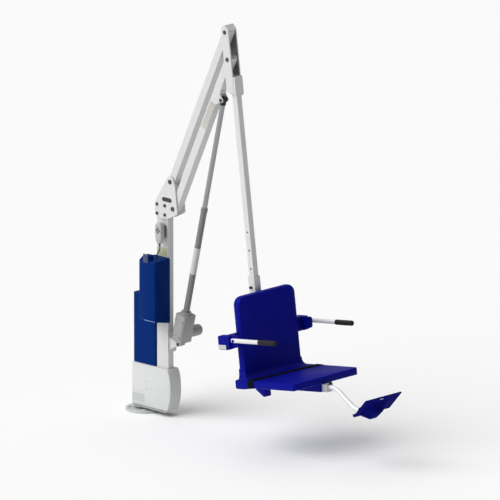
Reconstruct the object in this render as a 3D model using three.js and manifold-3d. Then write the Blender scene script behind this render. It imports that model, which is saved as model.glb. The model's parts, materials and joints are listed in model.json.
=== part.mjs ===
// A deck mounted patient lift for swimming pools: a turning mast, a parallelogram arm raised by a
// linear actuator, and a moulded seat on a hanging post. Millimetres, +Z up. The origin is on the
// slewing axis at deck level, and +X points out over the water, the way the seat faces.
import * as THREE from 'three';
import { mergeVertices } from 'three/addons/utils/BufferGeometryUtils.js';
import Module from 'manifold-3d';

const wasm = await Module();
wasm.setup();

// Clearances between pieces, and the overrun of every cut
const fit = { touch: 0.3, turn: 0.5, slide: 0.6, overrun: 3 };

// Deck flange, and the spindle that the whole lift turns on
const flange = {
  radius: 110, thickness: 12, edgeBevel: 4, hubRadius: 30, hubHeight: 12, socketDepth: 18,
  boltRadius: 10, boltHeadHeight: 7, boltCircle: 88, boltCount: 4,
};
const spindle = { radius: 22, height: 92, neck: 3, shoulderHeight: 8, screwRadius: 8 };

// Slewing gears, standard involute teeth
const gear = {
  module: 2.5, teeth: 28, pinionTeeth: 12, width: 14, backlash: 0.5, base: 52, pressureAngle: 25,
  tipShare: 0.8, rootShare: 1.05,
};

// Turning base plate and the bearing in its hub
const plate = { thickness: 8, lift: 0.5, tailRadius: 62, halfWidth: 50, frontOverhang: 12 };
const hub = { wall: 8, height: 20, bushWall: 3.5, bushFlange: 5 };

// Mast, a rectangular tube
const mast = { offset: 168.6, depth: 92, width: 44, wall: 4, top: 1262 };

// Moulded cover over the slewing drive
const cover = {
  rear: 53, front: 226, bulge: 26, halfWidth: 46, wall: 3.5, top: 278, bevel: 5,
  frontRise: 116, mastGap: 2,
};

// Slewing gear motor
const motor = {
  radius: 27, length: 96, gearboxSize: 58, gearboxHeight: 34, gearboxCorner: 6, shaftRadius: 5,
};

// Battery under its cover, behind the mast
const battery = {
  rear: 56, mastGap: 2.3, halfWidth: 30, height: 408, wall: 3, corner: 8, packGap: 7, packHeight: 240,
  packCorner: 4,
};

// Control box beside the mast
const control = {
  rear: 99.6, depth: 128, reach: 121.5, top: 932, height: 382, wall: 3, corner: 12, edge: 6,
  floorSlant: 25, lidSlant: 6, backThickness: 3, unitDepth: 62, unitHeight: 230, unitGap: 16,
};
const hump = { start: 3, slope: 30, crown: 40, fall: 8, rise: 30, depth: 45, bevel: 4 };
const strap = { height: 40, width: 22, lowShare: 0.24, highShare: 0.8 };

// Parallelogram arms and their pivots
const arm = {
  length: 1040, depth: 44, width: 50, wall: 4, angle: 65.5, pinRadius: 8,
  bossRadius: 16, washer: 2,
};
const pivots = {
  upperX: 240.9, upperZ: 1382.4, spacing: 156.7, hangerTilt: 7.4, headRadius: 13, headHeight: 6,
};

// Knuckle plates at the top of the mast
const knuckle = {
  thickness: 7, halfGap: 27.5, boltRadius: 6, boltHeadRadius: 10, boltHeadHeight: 5, columnSpacing: 61.4,
  rowSpacing: 54, topRow: 1236, rearOverhang: 16, topMargin: 33, frontMargin: 37, slotLength: 78,
  slotHeight: 27, slotDrop: 110, corner: 12,
};
const knuckleShares = {
  tail: 2.6, tailDrop: 2.1, frontDrop: 1.7, lowNose: 0.7, highNose: 0.5, crownFront: 0.4, crownRear: 0.45,
  crownDrop: 0.9, padDrop: 1.5,
};

// Linear actuator between the mast and the lower arm
const actuator = {
  lugSetback: 251.4595762, lugDrop: 48, eyeRadius: 14, eyeWidth: 30, pinRadius: 7, housingStart: 20,
  housingLength: 166, housingDepth: 80, housingWidth: 94, housingCorner: 12, housingEdge: 4,
  neckLength: 16, neckRadius: 29, tubeRadius: 18.2, tubeWall: 2, tubeEnd: 850, collarLength: 26,
  collarWall: 2.2, screwRadius: 7, screwSeat: 33, motorRadius: 33, motorLength: 96, motorHeight: 43,
  motorDome: 20,
};
const rodSize = {
  radius: 14.5, wall: 4.4, pistonLength: 34, cushion: 13.6, headRadius: 17, headLength: 24,
  headWidth: 34, headSkirt: 6.8,
};
const lug = { thickness: 7, gap: 36, length: 92, eyeRadius: 15, pinHeadRadius: 11, pinHeadHeight: 4 };
const earShares = { clevisHeel: 0.85, lugToe: 0.7 };
const clevis = {
  height: 437.578676, stand: 76.5800356, thickness: 8, gap: 31.4, footThickness: 8, footHeight: 120,
  footWidth: 68,
};

// Hand control on the mast
const handset = {
  bottom: 1022, height: 120, depth: 47, thickness: 30, offset: 16, edge: 4, holderDepth: 24,
  holderHeight: 74, holderWidth: 30, holderCorner: 8, wrist: 24, buttonRadius: 5, buttonHeight: 4,
  buttonTravel: 1.5, buttonSpacing: 17, wellGap: 0.6,
};
const handsetShares = {
  footFront: 0.8, crownFront: 0.3, shoulderFront: 0.6, shoulderRear: 1.2, waist: 0.36, holder: 0.2, keys: 0.72,
  keyDrop: 1.4, keyMiddle: 0.7, keySide: 0.6,
};
const lead = { radius: 3.2, glandRadius: 6 };
const leadShares = { start: 0.1, end: 0.9, drops: [0.15, 0.4, 0.62, 0.2] };

// Hanging head and the post under it
const head = {
  plateWidth: 55, topMargin: 40, bottom: 346, thickness: 7, chamfer: 27, blockTop: 256, blockBottom: 356,
  blockWidth: 64, blockDepth: 44, pinHeadRadius: 12, pinHeadHeight: 5, capThickness: 5,
};
const headShares = { slope: 0.8, neck: 0.65, neckDrop: 0.3 };
const post = {
  side: 38, wall: 4, forward: 15.5, holeRadius: 6, holeSpacing: 105, holeCount: 4, insert: 60,
};

// Moulded seat. All that hangs from it is placed by its rise above the pan.
const seat = {
  width: 524, backWidth: 460, backFace: 106, backThickness: 50, backHeight: 469, backEdge: 14,
  panDrop: 1951, panDepth: 411, panThickness: 43, rearFlare: 10, rearDepth: 53, crease: 42,
  shoulder: 40, topCorner: 50, noseCorner: 24, tailCorner: 9, noseRadius: 15, sideBevel: 6, wall: 6,
  drainRadius: 5, underSlope: 95,
};
const keel = { halfWidth: 34, depth: 47, root: 30, setback: 20.5 };
const frame = {
  width: 50, height: 40, collarLength: 40, collarHeight: 46, bootRear: 70, bootDepth: 100,
  bootRise: 38, bootToe: 14,
};
const belt = { width: 46, thickness: 3.2, start: 43, skew: 48, sideDrop: 42 };

// Seat carriage that slides on the post
const sleeve = { side: 50, rise: 548, postOverlap: 269, cornerRadius: 4 };
const plunger = {
  pinRadius: 5, knobRadius: 8, knobLength: 12, collarRadius: 9, collarLength: 4, tipGap: 0.6, below: 62,
};
const crossbar = { halfLength: 287, height: 80, depth: 40, wall: 4, rise: 224, corner: 6 };
const bracket = {
  rear: 8, split: 92, front: 146, width: 37.7, tongue: 14, lap: 18, corner: 12, pinRadius: 6,
  pinHeadRadius: 9, pinHeadHeight: 3, bore: 0.5,
};
const armrest = {
  radius: 12.5, wall: 2.2, start: 110, pivot: 128, end: 450.5, rise: 239, gripRadius: 15.2,
  gripLength: 130, plug: 20,
};

// Footrest on its bent tube
const footTube = {
  radius: 14, wall: 2.2, inside: 150, spare: 85, reach: 17, bendDrop: 127, bendRun: 157, hubRun: 130,
  bendRadius: 45,
};
const footPlate = {
  halfWidth: 147, length: 148, thickness: 6, angle: 41, heel: 21.3, lip: 12, hubRadius: 21,
  hubLength: 104, hubNose: 12, corner: 6, slotMargin: 16, slotWidth: 16, slotLength: 44,
};
const belly = { halfWidth: 84, depth: 39, run: 52, corner: 20, edge: 13, reachShare: 0.72 };
const clip = { width: 16, height: 11, thickness: 12 };

// How finely round things are divided, by the number of sides
const sides = { large: 56, medium: 32, small: 16, tiny: 12 };

// Colours and finishes
const finishes = {
  white: { color: 0xe1e2e1, roughness: 0.45, metalness: 0.1 },
  grey: { color: 0x8f9294, roughness: 0.5, metalness: 0.3 },
  steel: { color: 0xb9bcbe, roughness: 0.32, metalness: 0.9 },
  bronze: { color: 0xa87f45, roughness: 0.4, metalness: 0.8 },
  casting: { color: 0xa5a8a2, roughness: 0.6, metalness: 0.1 },
  navy: { color: 0x012a6e, roughness: 0.4, metalness: 0 },
  blue: { color: 0x10149a, roughness: 0.42, metalness: 0 },
  black: { color: 0x16181a, roughness: 0.7, metalness: 0 },
  plastic: { color: 0xc9cbcc, roughness: 0.5, metalness: 0 },
};
const materials = Object.fromEntries(
  Object.entries(finishes).map(([name, look]) => [name, new THREE.MeshStandardMaterial(look)]));

const degrees = Math.PI / 180;

// A closed geometry as a solid that can be joined and cut, and a solid as a geometry again
function solid(geometry) {
  const bare = new THREE.BufferGeometry();
  bare.setAttribute('position', geometry.getAttribute('position').clone());
  if (geometry.index) bare.setIndex(geometry.index.clone());
  const merged = mergeVertices(bare);
  const vertProperties = new Float32Array(merged.getAttribute('position').array);
  const triVerts = new Uint32Array(merged.index.array);
  return new wasm.Manifold(new wasm.Mesh({ numProp: 3, vertProperties, triVerts }));
}
function join(...parts) {
  return parts.reduce((sum, part) => sum.add(part));
}
function cut(body, ...tools) {
  return tools.reduce((left, tool) => left.subtract(tool), body);
}
function geometryOf(body) {
  const mesh = body.getMesh();
  const geometry = new THREE.BufferGeometry();
  geometry.setAttribute('position', new THREE.BufferAttribute(mesh.vertProperties, 3));
  geometry.setIndex(new THREE.BufferAttribute(mesh.triVerts, 1));
  geometry.computeVertexNormals();
  return geometry;
}
function piece(parent, name, body, material) {
  const mesh = new THREE.Mesh(geometryOf(body), materials[material]);
  mesh.name = name;
  parent.add(mesh);
  return mesh;
}

// Basic shapes, each placed by its centre or its lowest corner
function block(x0, x1, y0, y1, z0, z1) {
  const geometry = new THREE.BoxGeometry(x1 - x0, y1 - y0, z1 - z0);
  geometry.translate((x0 + x1) / 2, (y0 + y1) / 2, (z0 + z1) / 2);
  return solid(geometry);
}
function roundBar(radius, from, to, axis, centre, count = sides.medium) {
  const geometry = new THREE.CylinderGeometry(radius, radius, to - from, count);
  geometry.translate(0, (from + to) / 2, 0);
  if (axis === 'x') geometry.rotateZ(-90 * degrees);
  if (axis === 'z') geometry.rotateX(90 * degrees);
  geometry.translate(...centre);
  return solid(geometry);
}
function lathe(points, count = sides.medium) {
  const geometry = new THREE.LatheGeometry(points.map(([r, z]) => new THREE.Vector2(r, z)), count);
  geometry.rotateX(90 * degrees);
  return solid(geometry);
}
function extruded(shape, depth, curveSegments = sides.tiny, bevel = 0, bevelSegments = 2) {
  return new THREE.ExtrudeGeometry(shape, {
    depth: depth - 2 * bevel, curveSegments, bevelEnabled: bevel > 0, bevelSize: bevel,
    bevelThickness: bevel, bevelOffset: -bevel, bevelSegments,
  }).translate(0, 0, bevel);
}
// A side view outline (x, z) given its thickness along Y
function sidePrism(shape, y0, y1, curveSegments, bevel) {
  const geometry = extruded(shape, y1 - y0, curveSegments, bevel);
  geometry.rotateX(90 * degrees).translate(0, y1, 0);
  return solid(geometry);
}
// A plan outline (x, y) given its height along Z
function planPrism(shape, z0, z1, curveSegments, bevel) {
  const geometry = extruded(shape, z1 - z0, curveSegments, bevel);
  geometry.translate(0, 0, z0);
  return solid(geometry);
}
// A front view outline (y, z) given its depth along X
function frontPrism(shape, x0, x1, curveSegments, bevel) {
  const geometry = extruded(shape, x1 - x0, curveSegments, bevel);
  geometry.rotateX(90 * degrees).rotateZ(90 * degrees).translate(x0, 0, 0);
  return solid(geometry);
}
function roundedRectangle(x0, x1, y0, y1, r) {
  const shape = new THREE.Shape();
  shape.moveTo(x0 + r, y0).lineTo(x1 - r, y0).absarc(x1 - r, y0 + r, r, -90 * degrees, 0);
  shape.lineTo(x1, y1 - r).absarc(x1 - r, y1 - r, r, 0, 90 * degrees);
  shape.lineTo(x0 + r, y1).absarc(x0 + r, y1 - r, r, 90 * degrees, 180 * degrees);
  shape.lineTo(x0, y0 + r).absarc(x0 + r, y0 + r, r, 180 * degrees, 270 * degrees);
  return shape;
}
// An outline whose corners are rounded by the same radius
function roundedOutline(points, radius) {
  const shape = new THREE.Shape();
  points.forEach((point, i) => {
    const corner = new THREE.Vector2(...point);
    const before = new THREE.Vector2(...points[(i + points.length - 1) % points.length]);
    const after = new THREE.Vector2(...points[(i + 1) % points.length]);
    const from = corner.clone().add(before.sub(corner).setLength(radius));
    const to = corner.clone().add(after.sub(corner).setLength(radius));
    if (i === 0) shape.moveTo(from.x, from.y);
    else shape.lineTo(from.x, from.y);
    shape.quadraticCurveTo(corner.x, corner.y, to.x, to.y);
  });
  return shape;
}

// A path through the given stations, one step of an extrusion for each
class StationPath extends THREE.Curve {
  constructor(stations) {
    super();
    this.stations = stations;
  }

  getPoint(t) {
    const last = this.stations.length - 1;
    const index = Math.min(last - 1, Math.max(0, Math.floor(t * last)));
    return this.stations[index].clone().lerp(this.stations[index + 1], t * last - index);
  }

  getUtoTmapping(u) {
    return u;
  }
}
// Straight runs with a bend of the same size at each inner corner
function bentPath(corners, radius, bendSteps = 4) {
  const stations = [corners[0]];
  corners.slice(1, -1).forEach((at, i) => {
    const start = at.clone().add(corners[i].clone().sub(at).setLength(radius));
    const end = at.clone().add(corners[i + 2].clone().sub(at).setLength(radius));
    stations.push(...new THREE.QuadraticBezierCurve3(start, at, end).getPoints(bendSteps));
  });
  stations.push(corners.at(-1));
  return new StationPath(stations);
}
function bentBar(radius, path, halfSides) {
  const section = new THREE.Shape();
  section.absarc(0, 0, radius, 0, 360 * degrees);
  const steps = path.stations.length - 1;
  return solid(new THREE.ExtrudeGeometry(section, { steps, curveSegments: halfSides, extrudePath: path }));
}

// Groups: the turntable carries everything that turns with the mast
const lift = new THREE.Group();
const turntable = new THREE.Group();
lift.add(turntable);

// Deck flange and spindle
const plateBottom = flange.thickness + flange.hubHeight + plate.lift;
const plateTop = plateBottom + plate.thickness;
function deckFlange() {
  const disc = lathe([
    [0, 0], [flange.radius, 0], [flange.radius, flange.thickness - flange.edgeBevel],
    [flange.radius - flange.edgeBevel, flange.thickness], [flange.hubRadius, flange.thickness],
    [flange.hubRadius, flange.thickness + flange.hubHeight], [0, flange.thickness + flange.hubHeight],
  ], sides.large);
  const bolts = Array.from({ length: flange.boltCount }, (_, i) => {
    const angle = (i + 0.5) * 360 / flange.boltCount * degrees;
    const centre = [flange.boltCircle * Math.cos(angle), flange.boltCircle * Math.sin(angle), 0];
    return roundBar(flange.boltRadius, 0, flange.thickness + flange.boltHeadHeight, 'z', centre, 6);
  });
  const anchored = join(disc, ...bolts);
  const floor = plateBottom - plate.lift - flange.socketDepth;
  const socket = roundBar(spindle.radius + fit.touch, floor, plateTop, 'z', [0, 0, 0]);
  return cut(anchored, socket);
}
function slewSpindle() {
  const top = plateTop + spindle.height;
  const foot = plateBottom - plate.lift - flange.socketDepth + fit.touch;
  const r = spindle.radius;
  return lathe([
    [0, foot], [r, foot], [r, top - spindle.shoulderHeight], [r - spindle.neck, top - spindle.shoulderHeight],
    [r - spindle.neck, top], [spindle.screwRadius, top], [spindle.screwRadius, top + spindle.shoulderHeight],
    [0, top + spindle.shoulderHeight],
  ]);
}

// Involute gear outline, with teeth that start on the X axis
function gearOutline(teeth, boreRadius) {
  const pressure = gear.pressureAngle * degrees;
  const pitch = gear.module * teeth / 2;
  const base = pitch * Math.cos(pressure);
  const tip = pitch + gear.tipShare * gear.module;
  const root = pitch - gear.rootShare * gear.module;
  const involute = (r) => {
    const turn = Math.acos(Math.min(1, base / r));
    return Math.tan(turn) - turn;
  };
  const halfTooth = 90 / teeth * degrees - gear.backlash / 2 / pitch + involute(pitch);
  const start = Math.max(base, root);
  const radii = [start, start + (tip - start) / 2, tip];
  const shape = new THREE.Shape();
  for (let i = 0; i < teeth; i += 1) {
    const middle = i * 360 / teeth * degrees;
    const flank = radii.map((r) => [r, halfTooth - involute(r)]);
    const points = [[root, halfTooth], ...flank].map(([r, a]) => [r, middle - a]);
    points.push(...[[root, halfTooth], ...flank].reverse().map(([r, a]) => [r, middle + a]));
    for (const [r, a] of points) {
      const at = [r * Math.cos(a), r * Math.sin(a)];
      if (shape.curves.length === 0 && i === 0 && a === points[0][1]) shape.moveTo(...at);
      else shape.lineTo(...at);
    }
  }
  shape.closePath();
  const bore = new THREE.Path();
  bore.absarc(0, 0, boreRadius, 0, 360 * degrees, true);
  shape.holes.push(bore);
  return shape;
}
const gearBottom = plateTop + gear.base;
const pinionOffset = gear.module * (gear.teeth + gear.pinionTeeth) / 2;
function slewGear() {
  const outline = gearOutline(gear.teeth, spindle.radius + fit.turn);
  return planPrism(outline, gearBottom, gearBottom + gear.width);
}

// Turning base plate with its bearing hub
function basePlate() {
  const front = mast.offset + mast.depth / 2 + plate.frontOverhang;
  const shape = new THREE.Shape();
  const spread = Math.asin(plate.halfWidth / plate.tailRadius);
  shape.moveTo(front, plate.halfWidth);
  shape.absarc(0, 0, plate.tailRadius, spread, 360 * degrees - spread);
  shape.lineTo(front, -plate.halfWidth);
  const hubRadius = spindle.radius + fit.turn + hub.bushWall + fit.touch;
  const slab = planPrism(shape, plateBottom, plateTop, sides.small);
  const ring = roundBar(hubRadius + hub.wall, plateTop - fit.touch, plateTop + hub.height, 'z', [0, 0, 0]);
  const bore = roundBar(
    hubRadius, plateBottom - fit.overrun, plateTop + hub.height + fit.overrun, 'z', [0, 0, 0]);
  return cut(join(slab, ring), bore);
}
function slewBearing() {
  const inner = spindle.radius + fit.turn;
  const outer = inner + hub.bushWall;
  const top = plateTop + hub.height + fit.touch;
  return lathe([
    [inner, plateBottom], [outer, plateBottom], [outer, top], [outer + hub.bushFlange, top],
    [outer + hub.bushFlange, top + hub.bushWall], [inner, top + hub.bushWall], [inner, plateBottom],
  ]);
}

// Mast tube with two straps that hold the battery cover
const mastRear = mast.offset - mast.depth / 2;
const mastFront = mast.offset + mast.depth / 2;
const batteryFront = mastRear - battery.mastGap;
function boltPlaces() {
  const half = knuckle.columnSpacing / 2;
  return [
    [mast.offset - half, knuckle.topRow], [mast.offset + half, knuckle.topRow],
    [mast.offset - half, knuckle.topRow - knuckle.rowSpacing],
    [mast.offset + half, knuckle.topRow - knuckle.rowSpacing],
  ];
}
function mastTube() {
  const half = mast.width / 2;
  const tube = planPrism(
    roundedRectangle(mastRear, mastFront, -half, half, mast.wall), plateTop + fit.touch, mast.top, 3);
  const inside = block(
    mastRear + mast.wall, mastFront - mast.wall, -half + mast.wall, half - mast.wall,
    plateTop - fit.overrun, mast.top + fit.overrun);
  const straps = [strap.lowShare, strap.highShare].map((share) => {
    const z = cover.top + battery.height * share;
    return block(batteryFront + fit.touch, mastRear + mast.wall / 2, -strap.width / 2, strap.width / 2,
      z, z + strap.height);
  });
  const holes = boltPlaces().map(([x, z]) => roundBar(
    knuckle.boltRadius + fit.touch, -mast.width, mast.width, 'y', [x, 0, z], sides.small));
  return cut(join(cut(tube, inside), ...straps), ...holes);
}

// Moulded base cover, open underneath, with a hole for the mast
const coverBottom = plateTop + fit.touch;
function coverProfile(inset) {
  const shape = new THREE.Shape();
  const bottom = coverBottom - (inset > 0 ? fit.overrun : 0);
  const rear = -cover.rear + inset;
  const top = cover.top - inset;
  const front = cover.front - inset;
  shape.moveTo(rear, bottom).lineTo(front, bottom);
  shape.quadraticCurveTo(front + cover.bulge, coverBottom + cover.frontRise / 2, front + cover.bulge,
    coverBottom + cover.frontRise);
  shape.quadraticCurveTo(front + cover.bulge, top - cover.bulge, front, top);
  shape.lineTo(rear, top).closePath();
  return shape;
}
function baseCover() {
  const outer = sidePrism(coverProfile(0), -cover.halfWidth, cover.halfWidth, 6, cover.bevel);
  const innerHalf = cover.halfWidth - cover.wall;
  const inner = sidePrism(coverProfile(cover.wall), -innerHalf, innerHalf, 6, cover.bevel);
  const half = mast.width / 2 + cover.mastGap;
  const mastHole = block(mastRear - cover.mastGap, mastFront + cover.mastGap, -half, half,
    cover.top - cover.wall - fit.overrun, cover.top + fit.overrun);
  const open = block(-cover.rear + cover.wall, cover.front - cover.wall, -innerHalf, innerHalf,
    coverBottom - fit.overrun, coverBottom + cover.bevel * 2);
  return cut(outer, inner, mastHole, open);
}

// Slewing gear motor, standing on a foot beside the hub, and its pinion
function slewMotor() {
  const size = motor.gearboxSize / 2;
  const bottom = gearBottom + gear.width + fit.turn * 2;
  const top = bottom + motor.gearboxHeight;
  const outline = roundedRectangle(
    pinionOffset - size / 2, pinionOffset + size, -size, size, motor.gearboxCorner);
  const box = planPrism(outline, bottom, top, 3);
  const can = roundBar(
    motor.radius, top - fit.touch, top + motor.length, 'z', [pinionOffset + size / 4, 0, 0]);
  const shaft = roundBar(motor.shaftRadius, gearBottom - fit.overrun, bottom + fit.touch, 'z',
    [pinionOffset, 0, 0], sides.small);
  const legs = [-1, 1].map((side) => block(
    pinionOffset + size - plate.thickness, pinionOffset + size, side > 0 ? size - plate.thickness : -size,
    side > 0 ? size : -size + plate.thickness, plateTop + fit.touch, bottom + fit.touch));
  return join(box, can, shaft, ...legs);
}
function slewPinion() {
  return planPrism(gearOutline(gear.pinionTeeth, motor.shaftRadius + fit.touch), 0, gear.width);
}

// Battery cover, open underneath and set back where the control box passes it, and the battery
const controlInner = -mast.width / 2 - fit.touch - control.backThickness;
const controlFace = controlInner - control.reach + control.backThickness;
const controlFloor = control.top - control.height;
const batteryFloor = cover.top + fit.touch;
const batteryTop = batteryFloor + battery.height;
function batteryRecess(margin) {
  return block(control.rear - fit.touch - margin, mastRear, -battery.halfWidth - fit.overrun,
    -mast.width / 2 + margin, controlFloor - fit.touch - margin, batteryTop + fit.overrun);
}
function batteryCover() {
  const half = battery.halfWidth;
  const t = battery.wall;
  const outline = roundedRectangle(-battery.rear, batteryFront, -half, half, battery.corner);
  const hollow = roundedRectangle(t - battery.rear, batteryFront - t, t - half, half - t, battery.corner - t);
  const outer = planPrism(outline, batteryFloor, batteryTop, 4);
  const inner = planPrism(hollow, batteryFloor - fit.overrun, batteryTop - t, 4);
  return cut(cut(outer, batteryRecess(0)), cut(inner, batteryRecess(t)));
}
function batteryPack() {
  const gap = battery.wall + battery.packGap;
  const half = battery.halfWidth - gap;
  const top = batteryFloor + battery.packHeight;
  const outline = roundedRectangle(
    -battery.rear + gap, batteryFront - gap, -half, half, battery.packCorner);
  const body = planPrism(outline, batteryFloor, top, 3);
  const middle = (batteryFront - battery.rear) / 2;
  const handle = block(middle - gap, middle + gap, -half, half, top - fit.touch, top + gap * 2);
  const hole = block(middle - gap * 2, middle + gap * 2, -half / 2, half / 2, top, top + gap);
  return join(body, cut(handle, hole));
}

// Control box cover, open towards the mast, and the chassis that closes it
// End view of the box: its floor falls and its lid rises towards the mast
function controlOutline(inset, back) {
  const past = (back - controlInner) / (controlInner - controlFace);
  const face = controlFace + inset;
  return roundedOutline([
    [back, controlFloor - control.floorSlant * past + inset],
    [face, controlFloor + control.floorSlant + inset], [face, control.top - control.lidSlant - inset],
    [back, control.top + control.lidSlant * past - inset],
  ], control.corner - inset);
}
// Raised part of the lid, above the catch
function controlHump(inset) {
  const base = control.top - control.lidSlant - control.wall - control.corner;
  const lid = control.top - control.lidSlant - inset;
  const crown = lid + hump.rise;
  const x0 = control.rear + hump.start + inset;
  const x1 = control.rear + hump.start + hump.slope;
  const x2 = x1 + hump.crown;
  const shape = new THREE.Shape();
  shape.moveTo(x0, base).lineTo(x0, lid).lineTo(x1, crown).lineTo(x2, crown);
  shape.lineTo(x2 + hump.fall - inset, lid).lineTo(x2 + hump.fall - inset, base).closePath();
  return sidePrism(shape, controlFace + inset, controlFace + hump.depth - inset, 3, hump.bevel);
}
function controlCover() {
  const front = control.rear + control.depth;
  const past = controlInner + control.corner * 3;
  const box = frontPrism(controlOutline(0, past), control.rear, front, 4, control.edge);
  const outer = join(box, controlHump(0));
  const inner = frontPrism(
    controlOutline(control.wall, past), control.rear + control.wall, front - control.wall, 4);
  const open = block(control.rear - fit.overrun, front + fit.overrun, controlInner - fit.touch,
    past + control.corner, controlFloor - control.height, control.top + control.height);
  const gland = roundBar(lead.glandRadius + fit.touch, control.top - control.lidSlant - control.wall * 2,
    control.top + fit.overrun, 'z', leadEnd(), sides.tiny);
  return cut(outer, inner, controlHump(control.wall), open, gland);
}
function controlChassis() {
  const front = control.rear + control.depth;
  const outline = roundedRectangle(control.rear, front, controlFloor, control.top, control.corner);
  const back = sidePrism(outline, controlInner, controlInner + control.backThickness, 4);
  const z0 = controlFloor + control.floorSlant + control.unitGap;
  const unit = block(control.rear + control.unitGap, front - control.unitGap,
    controlInner - control.unitDepth, controlInner + fit.touch, z0, z0 + control.unitHeight);
  return join(back, unit);
}

// Knuckle plates, the shape of both sides
const lowerPivotX = pivots.upperX + pivots.spacing * Math.sin(pivots.hangerTilt * degrees);
const lowerPivotZ = pivots.upperZ - pivots.spacing * Math.cos(pivots.hangerTilt * degrees);
function knucklePlate(side) {
  const share = knuckleShares;
  const rear = mast.offset - knuckle.columnSpacing / 2 - knuckle.rearOverhang;
  const low = knuckle.topRow - knuckle.rowSpacing;
  const outline = [
    [rear, low - knuckle.corner / 2],
    [rear + knuckle.rearOverhang * share.tail, low - knuckle.corner * share.tailDrop],
    [mastFront + knuckle.corner / 2, low - knuckle.corner * share.frontDrop],
    [lowerPivotX + knuckle.frontMargin, lowerPivotZ - knuckle.frontMargin * share.lowNose],
    [pivots.upperX + knuckle.frontMargin, pivots.upperZ - knuckle.topMargin * share.highNose],
    [pivots.upperX + knuckle.frontMargin * share.crownFront, pivots.upperZ + knuckle.topMargin],
    [pivots.upperX - knuckle.frontMargin * share.crownRear, pivots.upperZ + knuckle.topMargin * share.crownDrop],
    [rear, knuckle.topRow + knuckle.corner],
  ];
  const inner = knuckle.halfGap;
  const outer = inner + knuckle.thickness;
  const span = side < 0 ? [-outer, -inner] : [inner, outer];
  const plateBody = sidePrism(roundedOutline(outline, knuckle.corner), ...span, 3);
  const padFace = mast.width / 2 + fit.touch;
  const padSpan = side < 0 ? [-inner - fit.touch, -padFace] : [padFace, inner + fit.touch];
  const pad = sidePrism(roundedRectangle(rear + knuckle.corner / 2, mastFront,
    low - knuckle.corner * share.padDrop, mast.top - fit.touch, knuckle.corner / 2), ...padSpan, 3);
  const reach = [-outer - fit.overrun, outer + fit.overrun];
  const holes = [
    ...boltPlaces().map(([x, z]) => roundBar(
      knuckle.boltRadius + fit.touch, ...reach, 'y', [x, 0, z], sides.small)),
    ...[[pivots.upperX, pivots.upperZ], [lowerPivotX, lowerPivotZ]].map(([x, z]) => roundBar(
      arm.pinRadius + fit.touch, ...reach, 'y', [x, 0, z], sides.small)),
  ];
  const slotX = (mast.offset + lowerPivotX) / 2;
  const slotZ = pivots.upperZ - knuckle.slotDrop;
  const slot = sidePrism(roundedRectangle(slotX - knuckle.slotLength / 2, slotX + knuckle.slotLength / 2,
    slotZ - knuckle.slotHeight / 2, slotZ + knuckle.slotHeight / 2,
    knuckle.slotHeight / 2 - fit.touch), ...reach, 5);
  return cut(join(plateBody, pad), ...holes, slot);
}
// A through bolt or pivot pin along Y, with a head at each end
function throughPin(radius, halfGrip, headRadius, headHeight, headSides = sides.tiny) {
  const shank = roundBar(radius, -halfGrip - fit.touch, halfGrip + fit.touch, 'y', [0, 0, 0], sides.small);
  const heads = [-1, 1].map((end) => {
    const from = end < 0 ? -halfGrip - headHeight : halfGrip + fit.touch;
    const to = end < 0 ? -halfGrip - fit.touch : halfGrip + headHeight;
    return roundBar(headRadius, from, to, 'y', [0, 0, 0], headSides);
  });
  return join(shank, ...heads);
}
const plateOuter = knuckle.halfGap + knuckle.thickness;

// Actuator geometry, from the pin in the lugs near the arm's far end to the pin in the mast's bracket.
// The bracket's place is chosen so that both pins lie equally far from the lower arm's pivot: the axis
// between them then turns at exactly half the arm's rate.
const lugAlong = arm.length - actuator.lugSetback;
const lugX = lowerPivotX + lugAlong * Math.cos(arm.angle * degrees)
  + actuator.lugDrop * Math.sin(arm.angle * degrees);
const lugZ = lowerPivotZ + lugAlong * Math.sin(arm.angle * degrees)
  - actuator.lugDrop * Math.cos(arm.angle * degrees);
const footX = mastFront + clevis.stand;
const footZ = clevis.height;
const actuatorTurn = Math.atan2(lugX - footX, lugZ - footZ);
const actuatorLength = Math.hypot(lugX - footX, lugZ - footZ);

function actuatorBracket() {
  const height = clevis.footHeight / 2;
  const face = mastFront + fit.touch;
  const foot = block(face, face + clevis.footThickness, -clevis.footWidth / 2, clevis.footWidth / 2,
    footZ - height, footZ + height);
  const ears = [-1, 1].map((side) => {
    const near = side < 0 ? -clevis.gap / 2 - clevis.thickness : clevis.gap / 2;
    const shape = new THREE.Shape();
    const r = actuator.eyeRadius;
    shape.moveTo(face + fit.overrun, footZ - height + r);
    shape.lineTo(footX - r / 2, footZ - r * earShares.clevisHeel);
    shape.absarc(footX, footZ, r, -120 * degrees, 90 * degrees);
    shape.lineTo(face + fit.overrun, footZ + height / 2);
    return sidePrism(shape, near, near + clevis.thickness, sides.tiny);
  });
  const hole = roundBar(actuator.pinRadius + fit.touch, -clevis.footWidth, clevis.footWidth, 'y',
    [footX, 0, footZ], sides.small);
  return cut(join(foot, ...ears), hole);
}

// Hand control: holder, body and four keys
const handsetX = mast.offset + handset.offset;
const holderFace = -mast.width / 2 - fit.touch;
const handsetBack = holderFace - handset.holderDepth - fit.touch;
const handsetFace = handsetBack - handset.thickness;
function handsetOutline() {
  const share = handsetShares;
  const half = handset.depth / 2;
  const shape = new THREE.Shape();
  const bottom = handset.bottom;
  const top = bottom + handset.height;
  shape.moveTo(handsetX - handset.wrist / 2, bottom).lineTo(handsetX + half * share.footFront, bottom);
  shape.lineTo(handsetX + half, bottom + half).lineTo(handsetX + half, top - half * share.shoulderFront);
  shape.quadraticCurveTo(handsetX + half, top, handsetX + half * share.crownFront, top);
  shape.quadraticCurveTo(handsetX - half, top, handsetX - half, top - half * share.shoulderRear);
  shape.lineTo(handsetX - half, bottom + handset.height * share.waist);
  shape.quadraticCurveTo(handsetX - half, bottom + half, handsetX - handset.wrist / 2, bottom);
  return shape;
}
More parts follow.
